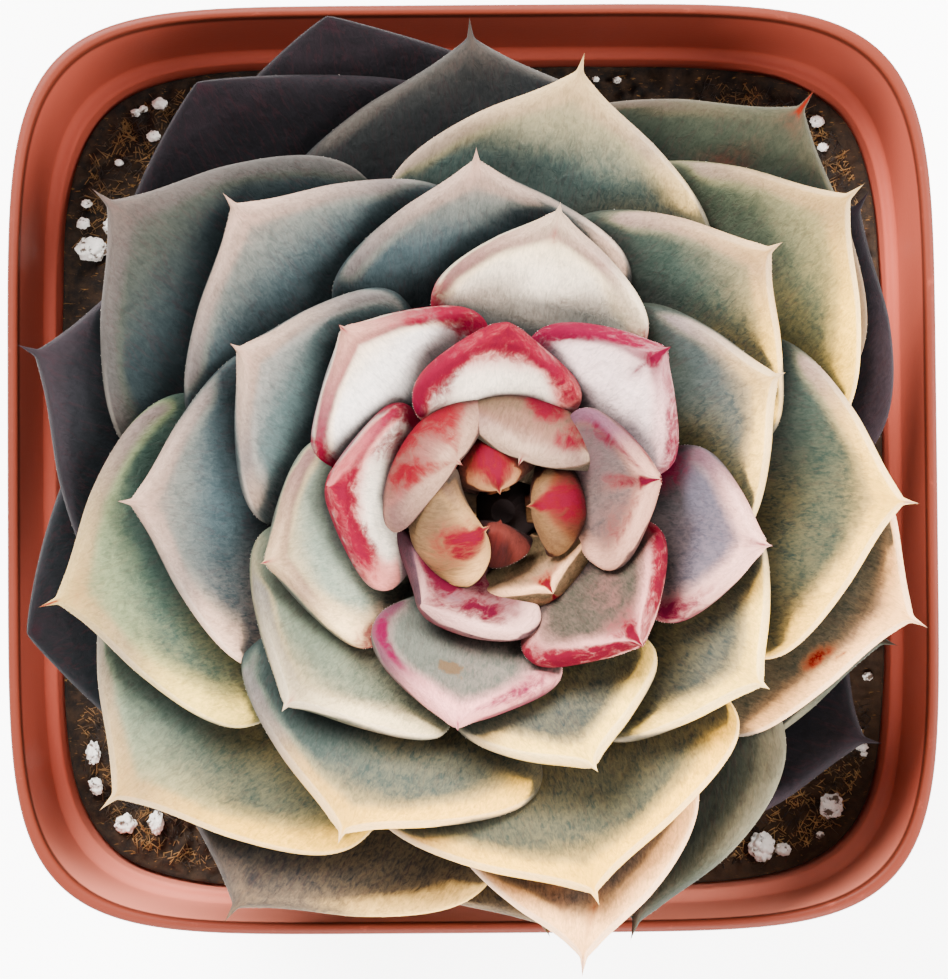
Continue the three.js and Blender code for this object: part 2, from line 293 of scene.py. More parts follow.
# %% Pot sizes, in millimetres
POT_HALF = 47.5
POT_HEIGHT = 82.0
SQUARENESS = 6.0
FOOT_HALF = 34.8
FOOT_ROUND = 1.6
WALL = 1.5
FLOOR_THICK = 1.8
LIP_WIDTH = 1.1
LIP_HEIGHT = 2.2
LIP_PROUD = 0.9
LEDGE_Z = 66.0
COLLAR_FOOT_HALF = 45.2
SOIL_HALF = 44.0
DRAIN_RADIUS = 4.0
DRAIN_PLACE = 23.0
DRAIN_SIDES = 32
POT_STEPS = 192
CORNER_STEPS = 4
POLE_GAP = 1e-4


def squared(x, y):
    """Pushes a point of a circle out to a square with round corners"""
    radius = math.hypot(x, y)
    if radius < TINY:
        return x, y
    power = 2 / SQUARENESS
    return radius * signed_power(x / radius, power), radius * signed_power(y / radius, power)


def rounded_corner(before, corner, after, radius):
    """Points of a profile that turn a corner softly"""
    start = corner + (before - corner).normalized() * radius
    end = corner + (after - corner).normalized() * radius
    points = []
    for i in range(CORNER_STEPS + 1):
        share = i / CORNER_STEPS
        points.append(start.lerp(corner, share).lerp(corner.lerp(end, share), share))
    return points


def soft_profile(corners):
    """A profile whose inner corners are rounded by the radius given with each"""
    points = [Vector(corners[0][:2])]
    for i in range(1, len(corners) - 1):
        before, corner, after = (Vector(corners[i + k][:2]) for k in (-1, 0, 1))
        points += rounded_corner(before, corner, after, corners[i][2])
    points.append(Vector(corners[-1][:2]))
    return points


print("pot:", 2 * POT_HALF, "mm wide,", POT_HEIGHT, "mm high")

# %% Pot shape
POT_PROFILE = [
    (0.0, 0.0, 0.0),
    (FOOT_HALF, 0.0, FOOT_ROUND),
    (SOIL_HALF + WALL, LEDGE_Z - 3.0, 0.5),
    (COLLAR_FOOT_HALF + WALL, LEDGE_Z - 1.6, 0.5),
    (POT_HALF - LIP_PROUD, POT_HEIGHT - LIP_HEIGHT, 0.3),
    (POT_HALF, POT_HEIGHT - LIP_HEIGHT + 0.2, 0.35),
    (POT_HALF, POT_HEIGHT, 0.6),
    (POT_HALF - LIP_WIDTH, POT_HEIGHT, 0.45),
    (COLLAR_FOOT_HALF + 0.1, LEDGE_Z + 0.3, 0.45),
    (COLLAR_FOOT_HALF - 0.5, LEDGE_Z, 0.2),
    (SOIL_HALF, LEDGE_Z, 0.35),
    (FOOT_HALF - WALL, FLOOR_THICK, FOOT_ROUND),
    (0.0, FLOOR_THICK, 0.0),
]


def pot_shape():
    shape = bmesh.new()
    verts = [shape.verts.new((point.x, 0, point.y)) for point in soft_profile(POT_PROFILE)]
    edges = [shape.edges.new(pair) for pair in zip(verts, verts[1:])]
    bmesh.ops.spin(
        shape, geom=verts + edges, cent=(0, 0, 0), axis=(0, 0, 1), dvec=(0, 0, 0),
        angle=2 * math.pi, steps=POT_STEPS, use_merge=True, use_duplicate=False,
    )
    bmesh.ops.remove_doubles(shape, verts=shape.verts[:], dist=POLE_GAP)
    for vert in shape.verts:
        x, y = squared(vert.co.x, vert.co.y)
        vert.co = Vector((x, y, vert.co.z)) * MM
    return shape


print("profile points:", len(soft_profile(POT_PROFILE)))

# %% [markdown]
# ## The pot's finish
#
# The plastic is terracotta red and half matt. It has a fine moulded grain, faint scuffs that run
# round the wall, and a lighter band along the top of the lip. The inner wall above the soil is
# painted lighter, as painted light, most of all at the front. An attribute tells the inner side of
# the shell from the outer one.

# %% Pot finish
# Heights and depths in metres, from where a colour starts to where it is full
LIP_EDGE = (0.0806, 0.0818)
WALL_TOP = (0.0812, 0.0800)
WALL_FOOT = (0.050, 0.064)
# Depths at the front of the inner wall, where its painted light is strongest
FRONT_LIGHT_SPAN = (-0.030, -0.046)
SCUFF_SPAN = (0.60, 0.72)
LIP_LIGHTER = 0.15
WALL_LIGHT_SHARE = 0.8


def pot_finish():
    finish = Finish("terracotta_plastic")
    place = finish.place()
    height, depth = finish.axes(place)["Z"], finish.axes(place)["Y"]
    cloud = finish.noise(place, 45.0, 5.0)
    scuffs = finish.noise(finish.stretch(place, (1, 1, 7)), 260.0, 6.0, 0.7)
    grain = finish.noise(place, 2600.0, 2.0)
    colour = finish.mix(cloud, linear("#481c12"), linear("#542218"))
    colour = finish.mix(finish.step(scuffs, *SCUFF_SPAN), colour, linear("#6c3024"))
    # Lighter along the top edge of the lip
    colour = finish.mix(finish.share(height, LIP_EDGE, LIP_LIGHTER), colour, linear("#8c3c28"))
    # Painted light: the inner wall above the soil is lighter, most of all at the front
    wall = finish.times(finish.step(height, *WALL_TOP), finish.step(height, *WALL_FOOT))
    inside = finish.times(wall, finish.attribute("inner_side"))
    painted_wall_light = finish.mix(finish.step(depth, *FRONT_LIGHT_SPAN), linear("#ae4e3d"), linear("#e0806a"))
    colour = finish.mix(finish.times(inside, WALL_LIGHT_SHARE), colour, painted_wall_light)
    finish.shade(
        Base_Color=colour,
        Roughness=finish.plus(0.34, finish.times(cloud, 0.2)),
        Specular_IOR_Level=0.1,
        Normal=finish.bump(finish.plus(grain, finish.times(scuffs, 0.6)), 0.18, 0.0001),
    )
    return finish.material


def mark_inner_side(piece):
    """An attribute of 1 where the skin looks at the pot's middle, and 0 elsewhere"""
    inner = piece.data.attributes.new("inner_side", "FLOAT", "POINT")
    for vert, mark in zip(piece.data.vertices, inner.data):
        inwards = vert.normal.x * vert.co.x + vert.normal.y * vert.co.y < 0
        mark.value = 1.0 if inwards else 0.0


pot = finish_piece("pot_shell", pot_shape(), pot_finish(), ["pot"])
mark_inner_side(pot)
print("pot faces:", len(pot.data.polygons))

# %% Drain holes
def cut_drains(piece):
    cutters = bmesh.new()
    for side_x in (-1, 1):
        for side_y in (-1, 1):
            made = bmesh.ops.create_cone(
                cutters, cap_ends=True, segments=DRAIN_SIDES,
                radius1=DRAIN_RADIUS * MM, radius2=DRAIN_RADIUS * MM, depth=4 * FLOOR_THICK * MM,
            )
            bmesh.ops.translate(
                cutters, verts=made["verts"],
                vec=Vector((side_x * DRAIN_PLACE, side_y * DRAIN_PLACE, FLOOR_THICK / 2)) * MM,
            )
    cutter = mesh_object("drain_cutters", cutters)
    drill = piece.modifiers.new("drains", "BOOLEAN")
    drill.object = cutter
    drill.solver = "EXACT"
    drilled = bpy.data.meshes.new_from_object(
        piece.evaluated_get(bpy.context.evaluated_depsgraph_get())
    )
    piece.modifiers.clear()
    piece.data = drilled
    bpy.data.objects.remove(cutter)


cut_drains(pot)
print("pot faces after drilling:", len(pot.data.polygons))

# %% [markdown]
# ## The soil
#
# The ground is dark peat: crumbs of every size, brown fibres, and white puffed grains. A flat grid
# is pushed to the pot's outline and lifted by noise, which gives real crumbs in the mesh.

# %% Ground
SOIL_Z = 64.6
SOIL_MOUND = 2.4
SOIL_LUMP = 0.45
BROAD_LUMP = 19.0
FINE_LUMP = 12.0
SOIL_CELLS = 250
FIT_GAP = 0.3
# The crumbs' height, and how close together clods, bits and specks lie
CRUMB = 0.75
CLOD_SCALE = 0.55
BIT_SCALE = 1.1
SPECK_SCALE = 2.6
NOISE_SLICE = 3.7
CALM_RIM = 0.02


def ground_z(x, y):
    away = clamp(math.hypot(x, y) / SOIL_HALF)
    turn = 2 * math.pi
    broad = math.sin(turn * x / BROAD_LUMP) * math.cos(turn * y / BROAD_LUMP)
    fine = math.sin(turn * (x - y) / FINE_LUMP) / 2
    return SOIL_Z + SOIL_MOUND * (1 - away * away) + SOIL_LUMP * (broad + fine)


def crumbs(x, y):
    """Height of the crumbs over the even ground"""
    place = Vector((x, y, NOISE_SLICE))
    clods = noise.fractal(place * CLOD_SCALE, 0.9, 2.1, 4)
    bits = 0.35 - noise.voronoi(place * BIT_SCALE)[0][0]
    specks = 0.3 - noise.voronoi(place * SPECK_SCALE)[0][0]
    return CRUMB * (0.9 * clods + 0.9 * bits + 0.45 * specks)


def square_pull(u, v):
    """How far a point of a plain square is drawn in, to round the square's corners"""
    round_off = (abs(u) ** SQUARENESS + abs(v) ** SQUARENESS) ** (1 / SQUARENESS)
    return max(abs(u), abs(v)) / round_off if round_off > TINY else 1.0


def soil_shape():
    shape = bmesh.new()
    bmesh.ops.create_grid(shape, x_segments=SOIL_CELLS, y_segments=SOIL_CELLS, size=1)
    half = SOIL_HALF - 2 * FIT_GAP
    for vert in shape.verts:
        u, v = vert.co.x, vert.co.y
        pull = square_pull(u, v)
        x, y = half * u * pull, half * v * pull
        calm = smooth((1 - max(abs(u), abs(v))) / CALM_RIM)
        vert.co = Vector((x, y, ground_z(x, y) + crumbs(x, y) * calm)) * MM
    rim = [edge for edge in shape.edges if edge.is_boundary]
    skirt = bmesh.ops.extrude_edge_only(shape, edges=rim)["geom"]
    low_half = FOOT_HALF - WALL - FIT_GAP
    for vert in (item for item in skirt if isinstance(item, bmesh.types.BMVert)):
        vert.co.x *= low_half / half
        vert.co.y *= low_half / half
        vert.co.z = (FLOOR_THICK + FIT_GAP) * MM
    low_rim = [edge for edge in shape.edges if edge.is_boundary]
    bmesh.ops.edgeloop_fill(shape, edges=low_rim)
    return shape


print("ground at the middle:", round(ground_z(0, 0), 2), "mm")

# %% Soil finish
# Places in metres between the upper left of the ground and its lower right, which is painted
# lighter, as painted light
LIT_SIDE_SPAN = (-0.02, 0.08)
LIT_SIDE_AMOUNT = 0.3


# Painted light: 0 at the upper left of the ground, 1 at its lower right
def painted_light_side(finish, place):
    axes = finish.axes(place)
    return finish.step(finish.minus(axes["X"], axes["Y"]), *LIT_SIDE_SPAN)


def soil_finish():
    finish = Finish("dark_peat")
    place = finish.place()
    clods = finish.noise(place, 700.0, 6.0, 0.7)
    threads = finish.noise(finish.stretch(place, (1.0, 3.5, 1.0)), 900.0, 3.0, 0.6, 1.2)
    colour = finish.mix(finish.step(clods, 0.35, 0.7), linear("#0e0906"), linear("#302012"))
    colour = finish.mix(finish.step(threads, 0.62, 0.72), colour, linear("#745024"))
    # Painted light: the ground is lighter towards the lower right
    dust_and_light = finish.times(painted_light_side(finish, place), LIT_SIDE_AMOUNT)
    finish.shade(
        Base_Color=finish.mix(dust_and_light, colour, linear("#4c3420")),
        Roughness=0.92, Specular_IOR_Level=0.3, Normal=finish.bump(clods, 0.5, 0.0004),
    )
    return finish.material


soil = finish_piece("peat", soil_shape(), soil_finish(), ["soil"])
print("soil faces:", len(soil.data.polygons))

# %% [markdown]
# ## Fibres in the soil
#
# Short brown threads of bark and moss lie on the ground in every direction. Each is a thin
# spindle, a cone of four sides, laid on the crumbs. They lie where the leaves leave the soil open.

# %% Fibres
FIBRE_COUNT = 4200
FIBRE_SEED = 21
# How far in from the pot's wall they lie, as shares of the ground's half width
FIBRE_BAND = 0.42
FIBRE_CROWDING = 1.2
FIBRE_EDGE = 0.955
FIBRE_LENGTH = (0.5, 2.6)
FIBRE_THICK = (0.03, 0.08)
FIBRE_RISE = (-0.25, 0.45)
SPINDLE_TAPER = 0.4
BATCH = 150


def lay_spindle(shape, place, way, length, thick, sides):
    """A thin cone at a place of the scene, with its length and thickness in millimetres"""
    turned = way.to_track_quat("Z", "Y").to_matrix().to_4x4()
    bmesh.ops.create_cone(
        shape, cap_ends=True, segments=sides, radius1=thick * MM,
        radius2=thick * SPINDLE_TAPER * MM, depth=length * MM,
        matrix=Matrix.Translation(place) @ turned,
    )


def lay_fibre(shape, draw):
    corner_x, corner_y = draw.choice((-1, 1)), draw.choice((-1, 1))
    u = corner_x * (1 - FIBRE_BAND * draw.random() ** FIBRE_CROWDING)
    v = corner_y * (1 - FIBRE_BAND * draw.random() ** FIBRE_CROWDING)
    pull = FIBRE_EDGE * square_pull(u, v)
    x, y = SOIL_HALF * u * pull, SOIL_HALF * v * pull
    length = draw.uniform(*FIBRE_LENGTH) * draw.uniform(0.5, 1.0)
    thick = draw.uniform(*FIBRE_THICK)
    way = Vector((draw.uniform(-1, 1), draw.uniform(-1, 1), draw.uniform(*FIBRE_RISE)))
    place = Vector((x, y, ground_z(x, y) + crumbs(x, y) + thick)) * MM
    lay_spindle(shape, place, way, length, thick, 4)


def many(count, lay, seed):
    """Lays a small thing many times, in batches, because a big bmesh slows every operator"""
    draw = random.Random(seed)
    whole = bmesh.new()
    batch_mesh = bpy.data.meshes.new("batch")
    for first in range(0, count, BATCH):
        batch = bmesh.new()
        for _ in range(first, min(count, first + BATCH)):
            lay(batch, draw)
        batch.to_mesh(batch_mesh)
        batch.free()
        whole.from_mesh(batch_mesh)
    bpy.data.meshes.remove(batch_mesh)
    return whole


def fibre_finish():
    finish = Finish("moss_threads")
    place = finish.place()
    patch = finish.noise(place, 420.0, 2.0)
    # Painted light: the fibres are lighter and more golden towards the lower right
    golden = finish.mix(painted_light_side(finish, place), linear("#7c582c"), linear("#b0844c"))
    colour = finish.mix(finish.step(patch, 0.42, 0.6), linear("#1c110a"), golden)
    finish.shade(Base_Color=colour, Roughness=0.7, Normal=finish.bump(patch, 0.2, 0.0001))
    return finish.material


fibre_shape = many(FIBRE_COUNT, lay_fibre, FIBRE_SEED)
fibres = finish_piece("moss_fibres", fibre_shape, fibre_finish())
print("fibre faces:", len(fibres.data.polygons))

# %% [markdown]
# ## Perlite
#
# Perlite is rock glass that puffed up in the heat. A grain is a ball pushed out by cells of noise,
# which gives rounded bubbles with dark pits between them.

# %% Perlite
# A large grain's place and half sizes in millimetres, and the patch of noise that shapes it
LARGE_GRAINS = [
    ((-40.2, 24.2), (1.8, 1.4, 1.3), 20),
    ((30.2, -39.5), (1.5, 1.6, 1.3), 40),
    ((-37.9, 26.7), (1.2, 1, 0.9), 70),
    ((-33.6, -36.5), (0.9, 1.3, 0.9), 10),
    ((-36.8, -36.6), (1.2, 1.1, 1), 55),
    ((37.6, -35.2), (1.3, 1.4, 1.1), 80),
    ((-40.2, -29.1), (0.8, 1.3, 0.9), 30),
]
# A small grain's place and its half size
SMALL_GRAINS = [
    ((-41.1, 27), 0.8), ((-40.7, 29.1), 0.6), ((-33.6, 36.2), 0.8), ((-35.5, 38.8), 0.6),
    ((-34.7, 39.2), 0.5), ((-37.3, 33.5), 0.5), ((-32.9, 39.7), 0.9), ((-40, -32.3), 0.8),
    ((-39.9, -33), 0.7), ((32.5, -39.8), 0.9), ((36.4, -38.3), 0.5), ((41.6, -21.6), 0.6),
    ((41, -29), 0.7), ((41.2, -29.8), 0.4), ((36.9, 37.4), 0.8), ((37.5, 34.6), 0.6),
    ((41.7, 23.7), 0.6), ((13.4, 42.1), 0.4), ((15.7, 42), 0.5),
]
LARGE_DETAIL = 5
SMALL_DETAIL = 4
SWELL = 1.12
BUBBLE_SCALE, BUBBLE_DEPTH = 1.9, 0.42
PIT_SCALE, PIT_DEPTH = 5.2, 0.07
RAISED = 0.3


def add_grain(shape, place, size, patch, detail):
    made = bmesh.ops.create_icosphere(shape, subdivisions=detail, radius=1)
    away = Vector((patch * 1.7, patch * 0.6, patch))
    for vert in made["verts"]:
        bubbles = noise.voronoi(vert.co * BUBBLE_SCALE + away)[0][0]
        pits = noise.noise(vert.co * PIT_SCALE + away)
        vert.co *= SWELL - BUBBLE_DEPTH * bubbles + PIT_DEPTH * pits
        vert.co = Vector((vert.co.x * size[0], vert.co.y * size[1], vert.co.z * size[2]))
    x, y = place
    bedded = (x, y, ground_z(x, y) + RAISED * size[2])
    bmesh.ops.translate(shape, verts=made["verts"], vec=bedded)
    bmesh.ops.scale(shape, verts=made["verts"], vec=(MM, MM, MM))


def perlite_finish():
    finish = Finish("puffed_glass")
    place = finish.place()
    pits = finish.noise(place, 1000.0, 4.0, 0.6)
    dust_and_light = finish.noise(place, 500.0, 3.0)
    colour = finish.mix(finish.step(pits, 0.38, 0.47), linear("#5a4a3c"), linear("#fffcf4"))
    colour = finish.mix(finish.share(dust_and_light, (0.55, 0.8), 0.25), colour, linear("#a08a6c"))
    finish.shade(Base_Color=colour, Roughness=0.8, Normal=finish.bump(pits, 0.7, 0.0003))
    return finish.material


perlite = perlite_finish()
for index, (place, size, patch) in enumerate(LARGE_GRAINS):
    shape = bmesh.new()
    add_grain(shape, place, size, patch, LARGE_DETAIL)
    finish_piece(f"perlite_grain_{index + 1}", shape, perlite, [f"perlite_{index + 1}"])
shape = bmesh.new()
for index, (place, size) in enumerate(SMALL_GRAINS):
    add_grain(shape, place, (size, 0.8 * size, 0.8 * size), 11 + 7 * index, SMALL_DETAIL)
finish_piece("small_perlite", shape, perlite)
print("perlite grains:", len(LARGE_GRAINS) + len(SMALL_GRAINS))

# %% [markdown]
# ## The leaves, one by one
#
# A leaf is a ball that is stretched along a bent midrib: one pole is its foot on the stem, the other
# is the tip of its spine. The list runs from the bud outwards. A leaf's skin names its colours. Its
# bearing is its tip's, in degrees from the right. Then a spread leaf has its reach, which is its
# tip's distance from the middle, and a curled one the length of its midrib, and both their width.
# Some have a foot that is turned from the tip, a rise of their own, or a blade with no pinched end.

# %% Leaf list, in millimetres and degrees
def spread(skin, bearing, reach, width, **more):
    return {"skin": skin, "bearing": bearing, "reach": reach, "width": width, **more}


def curled(skin, bearing, length, width, **more):
    return {"skin": skin, "bearing": bearing, "length": length, "width": width, **more}


LEAVES = [
    curled("heart", 255, 7.5, 7, rise=(15, 176)),
    curled("bud_ember", 103, 12.2, 8, rise=(15, 172)),
    curled("bud_dome", 5, 12.6, 10, rise=(15, 166)),
    curled("bud_star", 232, 15.8, 13, foot=-53, rise=(15, 170)),
    curled("bud_peach", 134, 19, 17, foot=12, rise=(15, 145)),
    curled("bud_olive", 70, 19.2, 16, rise=(15, 158)),
    spread("bud_cone", 300, 9.6, 14, rise=(38, 62)),
    spread("ring_grey", 9, 15.3, 16, foot=3),
    spread("ring_crimson", 229, 12.3, 17, foot=18, blade=1),
    spread("ring_rose", 88, 17.3, 16.5, foot=7, blade=1),
    spread("ring_dusk", 314, 19, 18, foot=3),
    spread("ring_flush", 173, 17, 18.5, blade=1),
    spread("ring_white", 43, 22, 18.5, foot=6),
    spread("ring_scarred", 258, 22, 19, foot=-4),
    spread("ring_cream", 132, 23.5, 21.5, foot=-2),
    spread("ring_mint", 193, 24, 21, foot=-2),
    spread("ring_lilac", 351, 26, 17.5, foot=1),
    spread("green_cream", 289, 27, 21, foot=-5),
    spread("ring_blush", 79, 29.5, 21.5),
    spread("mint", 222.5, 29, 26.5, foot=-5),
    spread("slate_mist", 149, 30.5, 26),
    spread("grey_peach", 25, 30, 25, foot=1.5),
    spread("green_cream", 325, 31, 26),
    spread("slate_pink", 94, 34.5, 29.5, foot=1.5),
    spread("green_peach", 243.5, 36, 32, foot=-3),
    spread("slate_pink", 179, 37, 31.5),
    spread("sea_green", 43, 37, 29, foot=6),
    spread("olive", 283, 39.3, 37, foot=-2.5),
    spread("slate_pink", 131.5, 40.5, 34.5),
    spread("sea_green", 0, 40, 32, foot=4),
    spread("deep_green", 192, 45.5, 33.5, foot=-4),
    spread("brown_cream", 79.5, 44.5, 33, foot=1.5),
    spread("peach", 279, 45.7, 25, foot=6),
    spread("deep_slate", 142, 50, 36),
    spread("olive_cream", 41.5, 47, 33, foot=2),
    spread("grey_olive", 216.5, 48.7, 37.5, foot=-3),
    spread("rust_peach", 344, 43, 34.5, foot=6),
    spread("plum", 161, 50, 41, foot=1),
    spread("foot_green", 53, 51, 39),
    spread("dusk_olive", 286, 44, 32, foot=15),
    spread("dusk_plum", 235.5, 48.7, 39),
    spread("dusk_brown", 93.5, 49, 42),
    spread("dusk_olive", 341, 41.5, 33),
    spread("plum", 194, 48.5, 43, foot=-2, blade=1),
    spread("dusk_plum", 276, 42.5, 36, foot=-8),
    spread("dark_plum", 125, 52.5, 46, foot=2, blade=1),
    spread("dark_plum", 41, 49, 35, foot=-6),
    spread("dark_plum", 328.5, 44.5, 32, foot=-8),
    spread("dark_plum", 109, 53, 46, foot=4, blade=1),
]
print("leaves:", len(LEAVES))

# %% [markdown]
# ## Where a leaf runs
#
# The midrib leaves the stem at one slope and bends evenly to a steeper one, so it is an arc. Outer
# leaves lie low, inner ones stand up, and the bud leaves curl over the middle.

# %% Midribs
ROSETTE = Vector((3, -5.2))
STEM_RADIUS = 7.2
STEM_TIP_RADIUS = 1.2
STEM_SHOULDER_LEAF = 16
LOWEST_LEAF_Z = 72.0
LEAF_PITCH = 0.52
OUTER_RISE = (8, 37)
INNER_RISE = (56, 68)
BUD_SQUAT = 0.72
LAST = len(LEAVES) - 1


def leaf_arc(leaf, rank):
    """Slopes, length and root of a leaf's midrib"""
    inwards = 1 - rank / LAST
    rise = leaf.get("rise") or [mix(OUTER_RISE[k], INNER_RISE[k], inwards) for k in (0, 1)]
    start, end = math.radians(rise[0]), math.radians(rise[1])
    shoulder = min(1, rank / STEM_SHOULDER_LEAF)
    root = mix(STEM_TIP_RADIUS, STEM_RADIUS, shoulder) + FIT_GAP
    bend = (math.sin(end) - math.sin(start)) / (end - start)
    length = leaf.get("length") or (leaf["reach"] - root) / bend
    return start, end, length, root


def midrib_point(leaf, rank, along):
    """A point of the midrib, and how far along it is as seen from above"""
    start, end, length, root = leaf_arc(leaf, rank)
    slope = mix(start, end, along)
    reach = root + length * (math.sin(slope) - math.sin(start)) / (end - start)
    squat = BUD_SQUAT if "length" in leaf else 1
    height = squat * length * (math.cos(start) - math.cos(slope)) / (end - start)
    bearing = math.radians(leaf["bearing"] + leaf.get("foot", 0) * (1 - along * along))
    point = Vector((
        ROSETTE.x + reach * math.cos(bearing),
        ROSETTE.y + reach * math.sin(bearing),
        LOWEST_LEAF_Z + LEAF_PITCH * (LAST - rank) + height,
    ))
    in_plan = along if "length" in leaf else (reach - root) / (leaf["reach"] - root)
    return point, in_plan


print("lowest leaf leaves the stem at", LOWEST_LEAF_Z, "mm")

# %% [markdown]
# ## A leaf's blade
#
# The blade is narrow at the foot, widest past the middle, and drawn to a point that carries a short
# spine. Its section is thick with a full round margin. The face is hollow like a spoon, and creased
# towards the tip.

# %% Leaf shape
LEAF_SIDES = 64
LEAF_RINGS = 80
RING_CROWDING = 1.5
BASE_CAP = 0.012
WIDEST_AT = 0.6
BLADE_END = 0.955
BASE_SHARE = 0.24
BUD_BLUNTNESS = 0.55
OUTER_BLUNTNESS = 0.88
OUTER_RANK = 40
SPINE_RADIUS = 0.72
SPINE_SHARE = 0.09
SPINE_TAPER = 1.3
PINCH = 0.3
PINCH_FROM = 0.8
BELLY = 2.4
FACE = 1.2
FOOT_FULLNESS = 0.4
FULL_FROM = 0.6
ACROSS_POWER = 0.9
THROUGH_POWER = 0.72
OUTER_CUP = 0.10
INNER_CUP = 0.42
CUP_POWER = 0.6
CUP_ROUND = 2.3
CUP_EASE = 0.3
CREASE_DEPTH = 0.45
CREASE_WIDTH = 0.16
CREASE_FROM = 0.5
CREASE_LONG = 0.4
SLOPE_STEP = 0.01
# The waves' height, and how many pass along, across and from leaf to leaf
WAVE = 0.28
WAVES = (5, 1.5, 3.1)


def width_share(along, blade_end, bluntness):
    if along < WIDEST_AT:
        return mix(BASE_SHARE, 1, (1 - math.cos(math.pi * along / WIDEST_AT)) / 2)
    outwards = min(1, (along - WIDEST_AT) / (blade_end - WIDEST_AT))
    return max(0, math.cos(outwards * math.pi / 2)) ** bluntness


def leaf_station(leaf, rank, along):
    """Everything about one cross section of a leaf"""
    centre, in_plan = midrib_point(leaf, rank, along)
    ahead = midrib_point(leaf, rank, along + SLOPE_STEP)[0]
    behind = midrib_point(leaf, rank, along - SLOPE_STEP)[0]
    tangent = (ahead - behind).normalized()
    outwards = Vector((centre.x - ROSETTE.x, centre.y - ROSETTE.y, 0)).normalized()
    side = Vector((0, 0, 1)).cross(outwards)
    side = (side - tangent * side.dot(tangent)).normalized()
    bluntness = BUD_BLUNTNESS if "length" in leaf else 1
    bluntness = OUTER_BLUNTNESS if rank > OUTER_RANK and "blade" in leaf else bluntness
    share = width_share(in_plan, leaf.get("blade", BLADE_END), bluntness)
    if "blade" not in leaf and "length" not in leaf:
        share *= 1 - PINCH * smooth((along - PINCH_FROM) / (BLADE_END - PINCH_FROM))
    spine = SPINE_RADIUS * min(1, (1 - along) / SPINE_SHARE) ** SPINE_TAPER
    half = math.hypot(leaf["width"] / 2 * share, spine)
    full = mix(FOOT_FULLNESS, 1, smooth(along / FULL_FROM)) * math.sqrt(share)
    cup = mix(INNER_CUP, OUTER_CUP, (rank / LAST) ** CUP_POWER)
    return {
        "centre": centre, "side": side, "face": tangent.cross(side), "half": half,
        "over": math.hypot(FACE * full, spine), "under": math.hypot(BELLY * full, spine),
        "cup": cup * leaf["width"] / 2 * share, "along": along, "share": share,
        "crease": CREASE_DEPTH * smooth((along - CREASE_FROM) / CREASE_LONG) * share,
    }


def leaf_stations(leaf, rank):
    stations = []
    for ring in range(LEAF_RINGS + 1):
        step = clamp((ring - 1) / (LEAF_RINGS - 1))
        along = 0 if ring == 0 else mix(BASE_CAP, 1, 1 - (1 - step) ** RING_CROWDING)
        stations.append(leaf_station(leaf, rank, along))
    return stations


def section_point(station, rank, across, through):
    """A point of the skin, at a share of the section's width and of its thickness"""
    thick = station["over"] if through > 0 else station["under"]
    place = Vector((station["along"] * WAVES[0], across * WAVES[1], rank * WAVES[2]))
    wave = WAVE * noise.noise(place)
    cupped = abs(across) ** CUP_ROUND - CUP_EASE * across ** 6
    lift = station["cup"] * cupped + wave * station["share"]
    lift -= station["crease"] * math.exp(-((across / CREASE_WIDTH) ** 2)) * max(0, through)
    sideways = station["side"] * station["half"] * across
    return station["centre"] + sideways + station["face"] * (thick * through + lift)


def leaf_shape(leaf, rank, stations):
    shape = bmesh.new()
    bmesh.ops.create_uvsphere(shape, u_segments=LEAF_SIDES, v_segments=LEAF_RINGS, radius=1)
    layers = shape.verts.layers
    for name in ("from_edge", "along", "across", "sky"):
        layers.float.new(name)
    layers.float_vector.new("skin_place")
    edge_layer, along_layer, side_layer, sky_layer = layers.float.values()
    place_layer = layers.float_vector["skin_place"]
    sky = sky_grid(stations, rank)
    length = leaf_arc(leaf, rank)[2]
    for vert in shape.verts:
        ring = round((1 - math.acos(clamp(vert.co.z, -1, 1)) / math.pi) * LEAF_RINGS)
        station = stations[ring]
        radius = math.hypot(vert.co.x, vert.co.y)
        turn = math.atan2(vert.co.y, vert.co.x) / (2 * math.pi) * LEAF_SIDES % LEAF_SIDES
        across = through = 0.0
        vert[sky_layer] = sky_at(sky, ring, turn)
        if 0 < ring < LEAF_RINGS:
            across = signed_power(vert.co.y / radius, ACROSS_POWER)
            through = signed_power(vert.co.x / radius, THROUGH_POWER)
            vert.co = section_point(station, rank, across, through) * MM
        else:
            vert.co = station["centre"] * MM
        vert[edge_layer] = station["half"] * (1 - abs(across))
        vert[along_layer] = station["along"]
        vert[side_layer] = across
        vert[place_layer] = Vector((
            station["half"] * across, length * station["along"], rank * 9 + 2 * through,
        ))
    return shape


print("faces a leaf:", LEAF_SIDES * LEAF_RINGS)

# %% [markdown]
# ## How much sky a leaf sees
#
# Skin that gets full light turns pale and red, and skin that a neighbour covers stays deep green.
# The same sky share also paints the shade that the neighbours cast, as painted shade.
# So each leaf is asked, at a coarse net of points, how much of the sky is clear. Rays go out round
# the skin's own direction, and those that meet another leaf of the plain model are blocked.

# %% Sky over the leaves
# The net's spacing in rows of the mesh, and the rays' reach and start in millimetres
SKY_STEP = 4
SKY_REACH = 45.0
SKY_START = 0.9
# Rings of rays: the tilt of each in degrees, and its rays
SKY_RINGS = ((0, 1), (32, 6), (58, 8))


def canopy_tree():
    points, faces = [], []
    for rank in range(len(LEAVES)):
        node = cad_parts[f"leaf_{rank + 1:02d}"]
        first = len(points)
        points += [node.matrix_world @ vert.co / MM for vert in node.data.vertices]
        faces += [[first + index for index in face.vertices] for face in node.data.polygons]
    return BVHTree.FromPolygons(points, faces)


def sky_ways():
    ways = []
    for tilt, count in SKY_RINGS:
        flat, up = math.sin(math.radians(tilt)), math.cos(math.radians(tilt))
        for index in range(count):
            turn = 2 * math.pi * (index + 0.5) / count
            ways.append(Vector((flat * math.cos(turn), flat * math.sin(turn), up)))
    return ways


